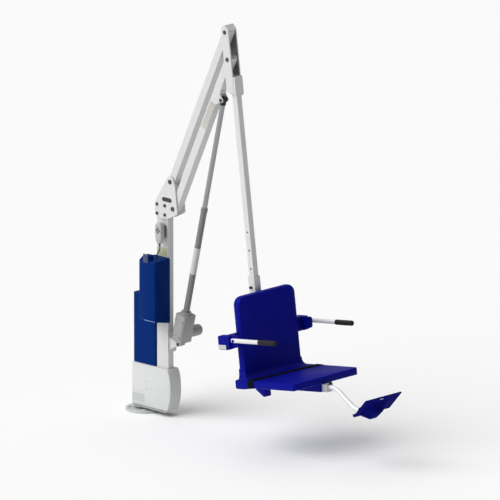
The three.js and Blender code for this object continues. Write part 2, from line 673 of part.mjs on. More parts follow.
function keyPlaces() {
  const high = handset.bottom + handset.height * handsetShares.keys;
  const middle = high - handsetShares.keyMiddle * handset.buttonSpacing;
  const side = handset.buttonSpacing * handsetShares.keySide;
  return {
    key_up: [handsetX, high], key_down: [handsetX, high - handsetShares.keyDrop * handset.buttonSpacing],
    key_left: [handsetX - side, middle], key_right: [handsetX + side, middle],
  };
}
function handsetBody() {
  const body = sidePrism(handsetOutline(), handsetFace, handsetBack, 5, handset.edge);
  const wells = Object.values(keyPlaces()).map(([x, z]) => roundBar(
    handset.buttonRadius + handset.wellGap, handsetFace - fit.overrun,
    handsetFace + handset.buttonHeight + handset.buttonTravel, 'y', [x, 0, z], sides.small));
  return cut(body, ...wells);
}
function handsetHolder() {
  const half = handset.holderWidth / 2;
  const z0 = handset.bottom + handset.height * handsetShares.holder;
  const outline = roundedRectangle(
    handsetX - half, handsetX + half, z0, z0 + handset.holderHeight, handset.holderCorner);
  return sidePrism(outline, handsetBack + fit.touch, holderFace, 4);
}
function handsetKey() {
  const height = handset.buttonHeight;
  const from = -height / 2;
  return roundBar(handset.buttonRadius, from, from + height, 'y', [0, 0, 0], sides.small);
}
// The lead runs from the foot of the hand control to the top of the control box
function leadStart() {
  const x = handsetX - handset.wrist * leadShares.start;
  return [x, (handsetFace + handsetBack) / 2, handset.bottom - fit.touch];
}
function leadEnd() {
  return [handsetX - handset.wrist * leadShares.end, (handsetFace + handsetBack) / 2, 0];
}
function handsetLead() {
  const [x0, y0, z0] = leadStart();
  const [x1, y1] = leadEnd();
  const low = control.top - control.wall;
  const drops = leadShares.drops.map((share) => (z0 - low) * share);
  const path = new THREE.CatmullRomCurve3([
    new THREE.Vector3(x0, y0, z0), new THREE.Vector3(x0, y0, z0 - drops[0]),
    new THREE.Vector3(x0 + lead.radius, y0, z0 - drops[1]),
    new THREE.Vector3((x0 + x1) / 2, y0, z0 - drops[2]),
    new THREE.Vector3(x1, y1, low + drops[3]), new THREE.Vector3(x1, y1, low),
  ]);
  const section = new THREE.Shape();
  section.absarc(0, 0, lead.radius, 0, 360 * degrees);
  return solid(new THREE.ExtrudeGeometry(section, { steps: 16, curveSegments: 4, extrudePath: path }));
}

// Arms, built along +X from their lower pivot
function armTube() {
  const half = arm.depth / 2;
  const end = half;
  const tube = sidePrism(roundedRectangle(-end, arm.length + end, -half, half, half - fit.touch),
    -arm.width / 2, arm.width / 2, 3);
  const inside = block(-end - fit.overrun, arm.length + end + fit.overrun, -arm.width / 2 + arm.wall,
    arm.width / 2 - arm.wall, -half + arm.wall, half - arm.wall);
  const bosses = [0, arm.length].map((x) => roundBar(arm.bossRadius, -arm.width / 2 - arm.washer,
    arm.width / 2 + arm.washer, 'y', [x, 0, 0], sides.medium));
  const bores = [0, arm.length].map((x) => roundBar(arm.pinRadius + fit.turn, -arm.width, arm.width,
    'y', [x, 0, 0], sides.small));
  return cut(join(cut(tube, inside), ...bosses), ...bores);
}
function actuatorLugs() {
  const half = lug.length / 2;
  const top = -arm.depth / 2 - fit.touch;
  const base = block(lugAlong - half, lugAlong + half, -arm.width / 2, arm.width / 2,
    top - lug.thickness / 2, top);
  const ears = [-1, 1].map((side) => {
    const near = side < 0 ? -lug.gap / 2 - lug.thickness : lug.gap / 2;
    const r = lug.eyeRadius;
    const shape = new THREE.Shape();
    shape.moveTo(lugAlong - half, top - fit.touch);
    shape.lineTo(lugAlong - r, -actuator.lugDrop);
    shape.absarc(lugAlong, -actuator.lugDrop, r, 180 * degrees, 360 * degrees);
    shape.lineTo(lugAlong + half * earShares.lugToe, top - fit.touch);
    return sidePrism(shape, near, near + lug.thickness, sides.tiny);
  });
  const hole = roundBar(actuator.pinRadius + fit.touch, -arm.width, arm.width, 'y',
    [lugAlong, 0, -actuator.lugDrop], sides.small);
  return cut(join(base, ...ears), hole);
}

// Actuator, built along +Z from its foot pivot
const tubeStart = actuator.housingStart + actuator.housingLength - actuator.neckLength + fit.touch;
const screwStart = tubeStart - actuator.screwSeat;
function actuatorGearbox() {
  const z0 = actuator.housingStart;
  const z1 = z0 + actuator.housingLength;
  const depth = actuator.housingDepth / 2;
  const width = actuator.housingWidth / 2;
  const outline = roundedRectangle(-depth, depth, -width, width, actuator.housingCorner);
  const body = planPrism(outline, z0, z1, 4, actuator.housingEdge);
  const neck = roundBar(actuator.neckRadius, z1 - fit.touch, z1 + actuator.neckLength, 'z', [0, 0, 0]);
  const r = actuator.eyeRadius;
  const half = actuator.eyeWidth / 2;
  const eye = join(roundBar(r, -half, half, 'y', [0, 0, 0]), block(-r, r, -half, half, 0, z0 + fit.overrun));
  const bore = roundBar(actuator.pinRadius + fit.turn, -width, width, 'y', [0, 0, 0], sides.small);
  const tubeSeat = roundBar(actuator.tubeRadius + fit.touch, z1 - actuator.neckLength,
    z1 + actuator.neckLength + fit.overrun, 'z', [0, 0, 0]);
  const screwSeat = roundBar(
    actuator.screwRadius + fit.touch, screwStart - fit.touch, z1, 'z', [0, 0, 0], sides.small);
  return cut(join(body, neck, eye), bore, tubeSeat, screwSeat);
}
function actuatorMotor() {
  const from = actuator.housingWidth / 2 + fit.touch;
  const r = actuator.motorRadius;
  const end = from + actuator.motorLength;
  const dome = actuator.motorDome;
  const profile = [[0, from], [r, from], [r, end - dome]];
  for (let i = 1; i < 5; i += 1) {
    const turn = i * 22.5 * degrees;
    profile.push([r - dome + dome * Math.cos(turn), end - dome + dome * Math.sin(turn)]);
  }
  profile.push([0, end]);
  const body = lathe(profile, sides.medium);
  return body.rotate([-90, 0, 0]).translate([0, 0, actuator.housingStart + actuator.motorHeight]);
}
function actuatorTube() {
  const r = actuator.tubeRadius;
  const bore = r - actuator.tubeWall;
  const end = actuator.tubeEnd;
  const collar = end - actuator.collarLength;
  const mouth = rodSize.radius + fit.turn;
  return lathe([
    [bore, tubeStart], [r, tubeStart], [r, collar], [r + actuator.collarWall, collar + actuator.collarWall],
    [r + actuator.collarWall, end - actuator.collarWall], [r, end], [mouth, end], [mouth, collar],
    [bore, collar], [bore, tubeStart],
  ]);
}
function leadScrew() {
  const end = actuator.tubeEnd - actuator.collarLength;
  return roundBar(actuator.screwRadius, screwStart, end, 'z', [0, 0, 0], sides.small);
}
// Rod, built along -Z from the pin in the lugs
function actuatorRod() {
  const reach = actuatorLength - (actuator.tubeEnd - actuator.collarLength);
  const bottom = -reach - rodSize.pistonLength - rodSize.cushion;
  const piston = actuator.tubeRadius - actuator.tubeWall - fit.turn;
  const top = -rodSize.headLength + rodSize.headRadius / 2;
  const r = rodSize.radius;
  const pistonTop = bottom + rodSize.pistonLength;
  const rod = lathe([
    [0, bottom], [piston, bottom], [piston, pistonTop], [r, pistonTop], [r, top], [0, top],
  ]);
  const bore = roundBar(
    actuator.screwRadius + fit.slide, bottom - fit.overrun, top - rodSize.wall, 'z', [0, 0, 0]);
  return cut(rod, bore);
}
function rodHead() {
  const r = rodSize.headRadius;
  const half = rodSize.headWidth / 2;
  const eye = roundBar(r, -half, half, 'y', [0, 0, 0], sides.medium);
  const foot = -rodSize.headLength - rodSize.headSkirt;
  const shank = roundBar(r, foot, 0, 'z', [0, 0, 0], sides.medium);
  const flat = block(-r * 2, r * 2, -half, half, -rodSize.headLength - r, r * 2);
  const socket = roundBar(rodSize.radius + fit.touch, foot - fit.overrun,
    -rodSize.headLength + r / 2 + fit.touch, 'z', [0, 0, 0]);
  const bore = roundBar(actuator.pinRadius + fit.turn, -r, r, 'y', [0, 0, 0], sides.small);
  return cut(join(eye, shank.intersect(flat)), socket, bore);
}

// Hanging head, built in the post's own frame: its origin is the upper hanger pivot
function headBracket() {
  const half = head.plateWidth / 2;
  const outline = new THREE.Shape();
  outline.moveTo(-half, -head.bottom).lineTo(half, -head.bottom).lineTo(half, head.topMargin - head.chamfer);
  const ridge = half - head.chamfer * headShares.slope;
  outline.lineTo(ridge, head.topMargin).lineTo(0, head.topMargin);
  outline.quadraticCurveTo(-half, head.topMargin, -half, 0);
  outline.closePath();
  const inner = knuckle.halfGap;
  const outer = inner + head.thickness;
  const cheeks = [-1, 1].map((side) => sidePrism(
    outline, side < 0 ? -outer : inner, side < 0 ? -inner : outer, 5));
  const front = post.forward + post.side / 2;
  const blockHalf = head.blockWidth / 2;
  const neck = post.side * headShares.neck;
  const neckFoot = -head.blockBottom - post.side * headShares.neckDrop;
  const lowOutline = [
    [-blockHalf, -head.blockTop], [-blockHalf, -head.blockBottom], [-neck, neckFoot], [neck, neckFoot],
    [blockHalf, -head.blockBottom], [blockHalf, -head.blockTop],
  ];
  const face = frontPrism(
    roundedOutline(lowOutline, head.thickness / 2), half - fit.touch, front + head.thickness, 2);
  const core = block(front - head.blockDepth, front, -inner - fit.touch, inner + fit.touch,
    -head.blockBottom, -head.blockTop);
  const capOutline = new THREE.Shape();
  const c = head.capThickness;
  const capFront = head.topMargin - head.chamfer;
  capOutline.moveTo(half, capFront).lineTo(half, capFront - c * 2).lineTo(half - c, capFront - c * 2);
  capOutline.lineTo(half - c, capFront - c / 2).lineTo(ridge - c / 2, head.topMargin - c);
  capOutline.lineTo(0, head.topMargin - c).lineTo(0, head.topMargin).lineTo(ridge, head.topMargin);
  capOutline.closePath();
  const cap = sidePrism(capOutline, -inner - fit.touch, inner + fit.touch);
  const socketHalf = post.side / 2 + fit.touch;
  const socket = block(post.forward - socketHalf, post.forward + socketHalf, -socketHalf, socketHalf,
    -head.blockBottom - head.blockWidth, -head.blockBottom + post.insert);
  const holes = [0, -pivots.spacing].map((z) => roundBar(arm.pinRadius + fit.touch, -outer - fit.overrun,
    outer + fit.overrun, 'y', [0, 0, z], sides.small));
  return cut(join(...cheeks, face, core, cap), socket, ...holes);
}
const postTop = -head.blockBottom + post.insert - fit.touch;
const sleeveTop = -seat.panDrop + sleeve.rise;
const postBottom = sleeveTop - sleeve.postOverlap;
const pinHeight = sleeveTop - plunger.below;
// The plunger sits in the lowest hole, and the seat rises by one spacing a hole
function holeHeights() {
  return Array.from({ length: post.holeCount }, (_, i) => pinHeight + i * post.holeSpacing);
}
function seatPost() {
  const half = post.side / 2;
  const outline = roundedRectangle(post.forward - half, post.forward + half, -half, half, post.wall / 2);
  const tube = planPrism(outline, postBottom, postTop, 2);
  const inner = half - post.wall;
  const inside = block(post.forward - inner, post.forward + inner, -inner, inner,
    postBottom - fit.overrun, postTop + fit.overrun);
  const holes = holeHeights().map((z) => roundBar(
    post.holeRadius, -half - fit.overrun, 0, 'y', [post.forward, 0, z], sides.tiny));
  return cut(tube, inside, ...holes);
}
const frameTop = -seat.panDrop - seat.panThickness - fit.touch * 2;
const frameBottom = frameTop - frame.height;
const sleeveBottom = frameTop + fit.touch;

// Sliding sleeve behind the seat
function seatSleeve() {
  const half = sleeve.side / 2;
  const bore = post.side / 2 + fit.slide;
  const outline = roundedRectangle(
    post.forward - half, post.forward + half, -half, half, sleeve.cornerRadius);
  const tube = planPrism(outline, sleeveBottom, sleeveTop, 2);
  const inside = block(post.forward - bore, post.forward + bore, -bore, bore,
    sleeveBottom - fit.overrun, sleeveTop + fit.overrun);
  const at = [post.forward, 0, pinHeight];
  const collar = roundBar(
    plunger.collarRadius, -half - plunger.collarLength, -half + fit.touch, 'y', at, sides.small);
  const hole = roundBar(plunger.pinRadius + fit.turn, -half * 2, 0, 'y', at, sides.tiny);
  return cut(join(tube, collar), inside, hole);
}
// Spring plunger, built along Y with its tip towards the post
function heightPlunger() {
  const face = -sleeve.side / 2 - plunger.collarLength - fit.touch;
  const tip = -post.side / 2 - plunger.tipGap;
  const at = [post.forward, 0, pinHeight];
  const shank = roundBar(plunger.pinRadius, face - fit.touch, tip, 'y', at, sides.tiny);
  const knob = roundBar(plunger.knobRadius, face - plunger.knobLength, face, 'y', at, sides.small);
  return join(shank, knob);
}

// Crossbar behind the back, with an armrest bracket at each end
const barRear = post.forward + sleeve.side / 2 + fit.touch;
const barFront = barRear + crossbar.depth;
const barHeight = -seat.panDrop + crossbar.rise;
function seatCrossbar() {
  const z = barHeight;
  const half = crossbar.height / 2;
  const shape = roundedRectangle(barRear, barFront, z - half, z + half, crossbar.corner);
  const tube = sidePrism(shape, -crossbar.halfLength, crossbar.halfLength, 3);
  const inside = block(barRear + crossbar.wall, barFront - crossbar.wall, -crossbar.halfLength - fit.overrun,
    crossbar.halfLength + fit.overrun, z - half + crossbar.wall, z + half - crossbar.wall);
  return cut(tube, inside);
}
const armrestY = crossbar.halfLength + bracket.tongue + fit.touch + fit.turn + armrest.radius;
const armrestHeight = -seat.panDrop + armrest.rise;
function armrestBracket(side) {
  const z = barHeight;
  const half = crossbar.height / 2;
  const from = crossbar.halfLength + fit.touch;
  const rearOutline = roundedOutline([
    [bracket.rear, z - half], [bracket.split, z - half], [bracket.split, z + half], [bracket.rear, z + half],
  ], bracket.corner);
  const tongueOutline = roundedOutline([
    [bracket.split - bracket.lap, z - half], [bracket.front, z - half / 2], [bracket.front, z + half],
    [bracket.split - bracket.lap, z + half],
  ], bracket.corner);
  const rear = sidePrism(rearOutline, from, from + bracket.width, 3);
  const tongue = sidePrism(tongueOutline, from, from + bracket.tongue, 3);
  const grip = armrest.radius * 2 + fit.turn * 2;
  const pinEnd = from + bracket.tongue + grip;
  const at = [armrest.pivot, 0, armrestHeight];
  const pin = join(
    roundBar(bracket.pinRadius, from + bracket.tongue / 2, pinEnd, 'y', at, sides.small),
    roundBar(bracket.pinHeadRadius, pinEnd, pinEnd + bracket.pinHeadHeight, 'y', at, sides.small));
  const right = join(rear, tongue, pin);
  return side > 0 ? right : right.mirror([0, 1, 0]);
}
function armrestTube(side) {
  const y = side * armrestY;
  const at = [0, y, armrestHeight];
  const tube = roundBar(armrest.radius, armrest.start, armrest.end - armrest.wall, 'x', at, sides.medium);
  const inside = roundBar(
    armrest.radius - armrest.wall, armrest.pivot + armrest.plug, armrest.end, 'x', at, sides.medium);
  const bore = roundBar(bracket.pinRadius + bracket.bore, -armrest.radius * 2, armrest.radius * 2, 'y',
    [armrest.pivot, y, armrestHeight], sides.small);
  return cut(tube, inside, bore);
}
function armrestGrip(side) {
  const inner = armrest.radius + fit.touch;
  const r = armrest.gripRadius;
  const long = armrest.gripLength;
  const cap = r - inner;
  const grip = lathe([
    [0, 0], [r - cap / 2, 0], [r, cap], [r, long - cap / 2], [r - cap, long + cap], [0, long + cap],
  ]);
  const socket = roundBar(inner, -fit.overrun, long - armrest.wall + fit.touch, 'z', [0, 0, 0]);
  return cut(grip, socket).rotate([0, 90, 0]).translate([armrest.end - long, side * armrestY, armrestHeight]);
}

// Moulded seat: pan, back, the root between them, and the keel, in one shell
const panTop = -seat.panDrop;
const seatRear = seat.backFace - seat.backThickness;
const seatNose = seat.backFace + seat.panDepth;
const seatTail = seatRear - seat.rearFlare;
const keelFront = seatNose - keel.setback;
function panUnderside(shape, inset) {
  const nose = seatNose - inset;
  const r = seat.noseRadius - inset;
  const under = panTop - seat.panThickness + inset;
  const low = panTop - seat.rearDepth + inset;
  const tail = seatTail + inset;
  shape.lineTo(tail, low + r).quadraticCurveTo(tail, low, tail + r, low);
  shape.lineTo(seat.backFace, low).lineTo(seat.backFace + seat.underSlope, under).lineTo(nose - r, under);
  shape.quadraticCurveTo(nose, under, nose, under + r).lineTo(nose, panTop - inset - r);
  shape.quadraticCurveTo(nose, panTop - inset, nose - r, panTop - inset);
  return shape;
}
function panProfile() {
  const shape = new THREE.Shape();
  shape.moveTo(seatNose - seat.noseRadius, panTop).lineTo(seatTail + seat.noseRadius, panTop);
  shape.quadraticCurveTo(seatTail, panTop, seatTail, panTop - seat.noseRadius);
  return panUnderside(shape, 0);
}
// Side view of the whole seat, as its hollows follow it
function seatProfile(inset) {
  const rear = seatRear + inset;
  const face = seat.backFace - inset;
  const top = panTop - inset;
  const crownRadius = seat.backThickness / 2 - inset;
  const crown = panTop + seat.backHeight - seat.backThickness / 2;
  const shape = new THREE.Shape();
  shape.moveTo(seatNose - seat.noseRadius, top).lineTo(face + seat.crease, top);
  shape.quadraticCurveTo(face, top, face, top + seat.crease);
  shape.lineTo(face, crown).absarc(face - crownRadius, crown, crownRadius, 0, 180 * degrees);
  shape.lineTo(rear, top + seat.rearDepth);
  shape.quadraticCurveTo(rear, top, seatTail + inset, top);
  return panUnderside(shape, inset);
}
// Front view of the back, with square feet that stand in the pan
function backOutline() {
  const half = seat.backWidth / 2;
  const top = panTop + seat.backHeight;
  const low = panTop - seat.panThickness / 2;
  const r = seat.topCorner;
  const shape = new THREE.Shape();
  shape.moveTo(-half, low).lineTo(half, low);
  shape.lineTo(half, top - r).absarc(half - r, top - r, r, 0, 90 * degrees);
  shape.lineTo(r - half, top).absarc(r - half, top - r, r, 90 * degrees, 180 * degrees);
  shape.closePath();
  return shape;
}
// Front view of the root, which widens from the back into the pan
function rootOutline() {
  const half = seat.width / 2 - seat.sideBevel;
  const back = seat.backWidth / 2;
  const top = panTop + seat.backHeight / 2;
  const low = panTop - seat.panThickness / 2;
  const edge = panTop - seat.sideBevel;
  const shape = new THREE.Shape();
  shape.moveTo(-half, low).lineTo(half, low).lineTo(half, edge);
  shape.quadraticCurveTo(back, panTop, back, panTop + seat.shoulder);
  shape.lineTo(back, top).lineTo(-back, top).lineTo(-back, panTop + seat.shoulder);
  shape.quadraticCurveTo(-back, panTop, -half, edge).closePath();
  return shape;
}
// The fillets around the foot of the back, running out on its rounded edges
function backRoot() {
  const low = panTop - seat.panThickness / 2;
  const front = seat.backFace + seat.crease;
  const tail = seatTail + seat.noseRadius;
  const shape = new THREE.Shape();
  shape.moveTo(tail, low).lineTo(front, low).lineTo(front, panTop);
  shape.quadraticCurveTo(seat.backFace, panTop, seat.backFace, panTop + seat.crease);
  shape.lineTo(seat.backFace - seat.backEdge, panTop + seat.crease + seat.backEdge);
  shape.lineTo(seatRear + seat.backEdge, panTop + seat.rearDepth + seat.backEdge);
  shape.lineTo(seatRear, panTop + seat.rearDepth);
  shape.quadraticCurveTo(seatRear, panTop, tail, panTop).closePath();
  const half = seat.width / 2;
  return sidePrism(shape, -half, half, 6).intersect(frontPrism(rootOutline(), 0, seatNose, 6));
}
// The seat is moulded hollow, in two chambers with a drain hole each, beside a solid middle
function seatChambers(pocket) {
  const reach = seat.width / 2 - seat.wall * 2;
  const backReach = seat.backWidth / 2 - seat.wall * 2;
  const chamber = sidePrism(seatProfile(seat.wall), keel.halfWidth, reach, 3);
  const top = panTop + seat.backHeight;
  const corner = seat.topCorner;
  const shoulder = block(0, seat.backFace + seat.crease, backReach, reach + fit.overrun, panTop - seat.wall, top);
  const crown = block(0, seat.backFace, backReach - corner / 2, reach, top - corner, top);
  const middle = (keel.halfWidth + reach) / 2;
  const drain = roundBar(seat.drainRadius, panTop - seat.rearDepth * 2, panTop - seat.panThickness / 2,
    'z', [seat.backFace, middle, 0], sides.tiny);
  const one = join(cut(chamber, shoulder, crown, pocket), drain);
  return [one, one.mirror([0, 1, 0])];
}
// Room for the crossbar behind the back, grown by the given margin
function crossbarPocket(margin) {
  const half = crossbar.height / 2 + margin;
  return block(0, barFront + margin, -seat.width, seat.width, barHeight - half, barHeight + half);
}
function seatShell() {
  const half = seat.width / 2;
  const pan = sidePrism(panProfile(), -half, half, 5, seat.sideBevel);
  const back = frontPrism(backOutline(), seatRear, seat.backFace, 6, seat.backEdge);
  const plan = new THREE.Shape();
  const nose = seat.noseCorner;
  const tail = seat.tailCorner;
  plan.moveTo(seatTail + tail, -half).lineTo(seatNose - nose, -half);
  plan.absarc(seatNose - nose, nose - half, nose, -90 * degrees, 0);
  plan.lineTo(seatNose, half - nose).absarc(seatNose - nose, half - nose, nose, 0, 90 * degrees);
  plan.lineTo(seatTail + tail, half).absarc(seatTail + tail, half - tail, tail, 90 * degrees, 180 * degrees);
  plan.lineTo(seatTail, tail - half).absarc(seatTail + tail, tail - half, tail, 180 * degrees, 270 * degrees);
  const corners = planPrism(plan, panTop - seat.rearDepth * 2, panTop + seat.panThickness, 4);
  const sleeveGap = sleeve.side / 2 + fit.slide;
  const sleeveSlot = block(0, post.forward + sleeveGap, -sleeveGap, sleeveGap, panTop - seat.rearDepth * 2,
    panTop + seat.backHeight);
  const channel = block(seat.backFace, keelFront, -keel.halfWidth, keel.halfWidth,
    panTop - seat.panThickness - keel.depth, panTop - keel.root);
  const grooveHalf = frame.width / 2 + fit.touch;
  const groove = block(0, seatNose + seat.panDepth, -grooveHalf, grooveHalf, panTop - seat.panThickness * 3,
    panTop - seat.panThickness - fit.touch);
  const body = join(pan.intersect(corners), back, backRoot(), channel);
  return cut(body, sleeveSlot, groove, crossbarPocket(fit.touch),
    ...seatChambers(crossbarPocket(fit.touch + seat.wall)));
}

// Steel frame under the seat: the boot behind, and the receiver tube for the footrest
const frameFront = keelFront + fit.touch;
const frameEnd = frameFront + frame.collarLength;
function seatFrame() {
  const half = frame.width / 2;
  const bootTop = frameTop;
  const bootFront = post.forward + sleeve.side / 2;
  const bootLow = bootTop - frame.bootDepth;
  const outline = new THREE.Shape();
  outline.moveTo(bootFront, bootTop).lineTo(bootFront - frame.bootRear, bootTop);
  outline.lineTo(bootFront - frame.bootRear, bootLow + frame.bootRise);
  outline.lineTo(bootFront - frame.bootToe, bootLow).lineTo(bootFront, bootLow).closePath();
  const boot = sidePrism(outline, -half, half);
  const tube = block(bootFront - fit.touch, frameFront, -half, half, frameBottom, frameTop);
  const collar = block(frameFront, frameEnd, -half, half, frameTop - frame.collarHeight, frameTop);
  const bore = roundBar(footTube.radius + fit.slide, frameFront - footTube.inside - footTube.spare,
    frameEnd + fit.overrun, 'x', [0, 0, footY]);
  return cut(join(boot, tube, collar), bore);
}

// Lap belt lying across the seat, its far end further forward than the near one
function lapBelt() {
  const top = panTop + fit.touch * 2;
  const half = seat.width / 2 + fit.touch * 2;
  const t = belt.thickness;
  const low = top - belt.sideDrop;
  const outline = new THREE.Shape();
  outline.moveTo(-half - t, low).lineTo(-half, low).lineTo(-half, top).lineTo(half, top).lineTo(half, low);
  outline.lineTo(half + t, low).lineTo(half + t, top + t).lineTo(-half - t, top + t).closePath();
  const near = seat.backFace + belt.start;
  const hung = frontPrism(outline, near, near + belt.width + belt.skew);
  const band = new THREE.Shape();
  const end = half + t * 2;
  band.moveTo(near, -end).lineTo(near + belt.width, -end).lineTo(near + belt.width, -half + fit.touch);
  band.lineTo(near + belt.width + belt.skew, half - fit.touch).lineTo(near + belt.width + belt.skew, end);
  band.lineTo(near + belt.skew, end).lineTo(near + belt.skew, half - fit.touch);
  band.lineTo(near, fit.touch - half).closePath();
  return hung.intersect(planPrism(band, low - fit.overrun, top + t * 2));
}

// Footrest: bent tube, plate with its hub, and the clip that locks it
const footY = (frameTop + frameBottom) / 2;
const bendStart = frameEnd + footTube.reach + footTube.bendRadius / 2;
const footEndX = bendStart + footTube.bendRun + footTube.hubRun;
const footEndZ = footY - footTube.bendDrop;
function footPath(inset) {
  const x0 = frameFront - footTube.inside;
  return bentPath([
    new THREE.Vector3(x0 - inset, 0, footY), new THREE.Vector3(bendStart, 0, footY),
    new THREE.Vector3(bendStart + footTube.bendRun, 0, footEndZ),
    new THREE.Vector3(footEndX + inset, 0, footEndZ),
  ], footTube.bendRadius);
}
function footrestTube() {
  const outer = bentBar(footTube.radius, footPath(0), 8);
  return cut(outer, bentBar(footTube.radius - footTube.wall, footPath(fit.overrun), 6));
}
// A body drawn level is raised to the plate's angle about the middle of its heel
function raised(body) {
  return body.rotate([0, -footPlate.angle, 0]).translate([footEndX - footPlate.heel, 0, footEndZ]);
}
function footrestPlate() {
  const t = footPlate.thickness;
  const half = footPlate.halfWidth;
  const board = planPrism(roundedRectangle(0, footPlate.length, -half, half, footPlate.corner), -t, 0, 4);
  const slotEnd = footPlate.length - footPlate.slotMargin;
  const slotHalf = footPlate.slotLength / 2;
  const slotShape = roundedRectangle(slotEnd - footPlate.slotWidth, slotEnd, -slotHalf, slotHalf,
    footPlate.slotWidth / 2 - fit.touch);
  const slot = planPrism(slotShape, -t * 2, t, 4);
  const heel = block(0, t, footPlate.corner - half, half - footPlate.corner, -t / 2, footPlate.lip);
  return cut(join(raised(cut(join(board, heel), slot)), footrestBelly(), footrestHub()), footrestBore());
}
// Smooth belly under the plate, trimmed off at the plate's middle
function footrestBelly() {
  const rise = footPlate.angle * degrees;
  const along = footPlate.length * belly.reachShare;
  const x0 = footEndX - footPlate.heel;
  const low = footEndZ - belly.depth;
  const endX = x0 + along * Math.cos(rise);
  const endZ = footEndZ + along * Math.sin(rise);
  const shape = new THREE.Shape();
  shape.moveTo(x0, footEndZ + belly.edge * 2).lineTo(x0, low + belly.corner);
  shape.quadraticCurveTo(x0, low, x0 + belly.corner, low).lineTo(x0 + belly.run, low);
  shape.quadraticCurveTo(endX, low, endX, endZ + belly.edge).closePath();
  const body = sidePrism(shape, -belly.halfWidth, belly.halfWidth, 5, belly.edge);
  const wide = footPlate.halfWidth * 2;
  const above = raised(block(
    -wide, wide, -wide, wide, -footPlate.thickness / 2, footPlate.length + belly.edge));
  return cut(body, above);
}
function footrestHub() {
  return roundBar(footPlate.hubRadius, footEndX - footPlate.hubLength, footEndX + footPlate.hubNose, 'x',
    [0, 0, footEndZ]);
}
// The hub reaches over the end of the bend, so its bore follows the tube
function footrestBore() {
  return bentBar(footTube.radius + fit.touch, footPath(fit.touch), 8);
}
function footrestClip() {
  const x = frameEnd + fit.touch;
  return block(x, x + clip.thickness, -clip.width / 2, clip.width / 2,
    footY + footTube.radius + fit.slide, frameTop + clip.height);
}

// Assembly
piece(lift, 'deck_flange', deckFlange(), 'grey');
piece(lift, 'slew_spindle', slewSpindle(), 'steel');
piece(lift, 'slew_gear', slewGear(), 'steel');
piece(turntable, 'slew_bearing', slewBearing(), 'bronze');
piece(turntable, 'swing_plate', basePlate(), 'grey');
piece(turntable, 'base_cover', baseCover(), 'plastic');
piece(turntable, 'mast_tube', mastTube(), 'white');
piece(turntable, 'slew_motor', slewMotor(), 'black');
const pinion = piece(turntable, 'slew_pinion', slewPinion(), 'steel');
pinion.position.set(pinionOffset, 0, gearBottom);
pinion.rotation.z = 180 / gear.pinionTeeth * degrees;
piece(turntable, 'battery_cover', batteryCover(), 'navy');
piece(turntable, 'battery_pack', batteryPack(), 'black');
piece(turntable, 'control_cover', controlCover(), 'navy');
piece(turntable, 'control_chassis', controlChassis(), 'black');
piece(turntable, 'knuckle_plate_near', knucklePlate(-1), 'white');
piece(turntable, 'knuckle_plate_far', knucklePlate(1), 'white');
boltPlaces().forEach(([x, z], i) => {
  const bolt = piece(turntable, `mast_bolt_${i + 1}`, throughPin(
    knuckle.boltRadius, plateOuter, knuckle.boltHeadRadius, knuckle.boltHeadHeight, 6), 'steel');
  bolt.position.set(x, 0, z);
});
const armPins = { upper_arm_pin: [pivots.upperX, pivots.upperZ], lower_arm_pin: [lowerPivotX, lowerPivotZ] };
Object.entries(armPins).forEach(([name, [x, z]]) => {
  piece(turntable, name, throughPin(arm.pinRadius, plateOuter, pivots.headRadius, pivots.headHeight), 'steel')
    .position.set(x, 0, z);
});
piece(turntable, 'actuator_bracket', actuatorBracket(), 'white');
const bracketGrip = clevis.gap / 2 + clevis.thickness;
piece(turntable, 'bracket_pin', throughPin(
  actuator.pinRadius, bracketGrip, lug.pinHeadRadius, lug.pinHeadHeight), 'steel')
  .position.set(footX, 0, footZ);
piece(turntable, 'handset_holder', handsetHolder(), 'black');
piece(turntable, 'handset', handsetBody(), 'plastic');
Object.entries(keyPlaces()).forEach(([name, [x, z]]) => {
  const y = handsetFace + handset.buttonHeight / 2 - fit.touch * 4;
  piece(turntable, name, handsetKey(), 'black').position.set(x, y, z);
});
piece(turntable, 'handset_lead', handsetLead(), 'black');

// The two arms lean at the same angle, on pivots one above the other
const arms = { upper_arm: [pivots.upperX, pivots.upperZ], lower_arm: [lowerPivotX, lowerPivotZ] };
const armGroups = Object.fromEntries(Object.entries(arms).map(([name, [x, z]]) => {
  const group = new THREE.Group();
  group.position.set(x, 0, z);
  group.rotation.y = -arm.angle * degrees;
  turntable.add(group);
  piece(group, name, armTube(), 'white');
  return [name, group];
}));
piece(armGroups.lower_arm, 'actuator_lugs', actuatorLugs(), 'white');
piece(armGroups.lower_arm, 'lug_pin', throughPin(
  actuator.pinRadius, lug.gap / 2 + lug.thickness, lug.pinHeadRadius, lug.pinHeadHeight), 'steel')
  .position.set(lugAlong, 0, -actuator.lugDrop);

const actuatorGroup = new THREE.Group();
actuatorGroup.position.set(footX, 0, footZ);
actuatorGroup.rotation.y = actuatorTurn;
turntable.add(actuatorGroup);
piece(actuatorGroup, 'actuator_gearbox', actuatorGearbox(), 'casting');
piece(actuatorGroup, 'actuator_motor', actuatorMotor(), 'casting');
piece(actuatorGroup, 'actuator_tube', actuatorTube(), 'grey');
piece(actuatorGroup, 'lead_screw', leadScrew(), 'steel');
const rodGroup = new THREE.Group();
rodGroup.position.set(lugX, 0, lugZ);
rodGroup.rotation.y = actuatorTurn;
turntable.add(rodGroup);
piece(rodGroup, 'actuator_rod', actuatorRod(), 'steel');
piece(rodGroup, 'rod_head', rodHead(), 'black');

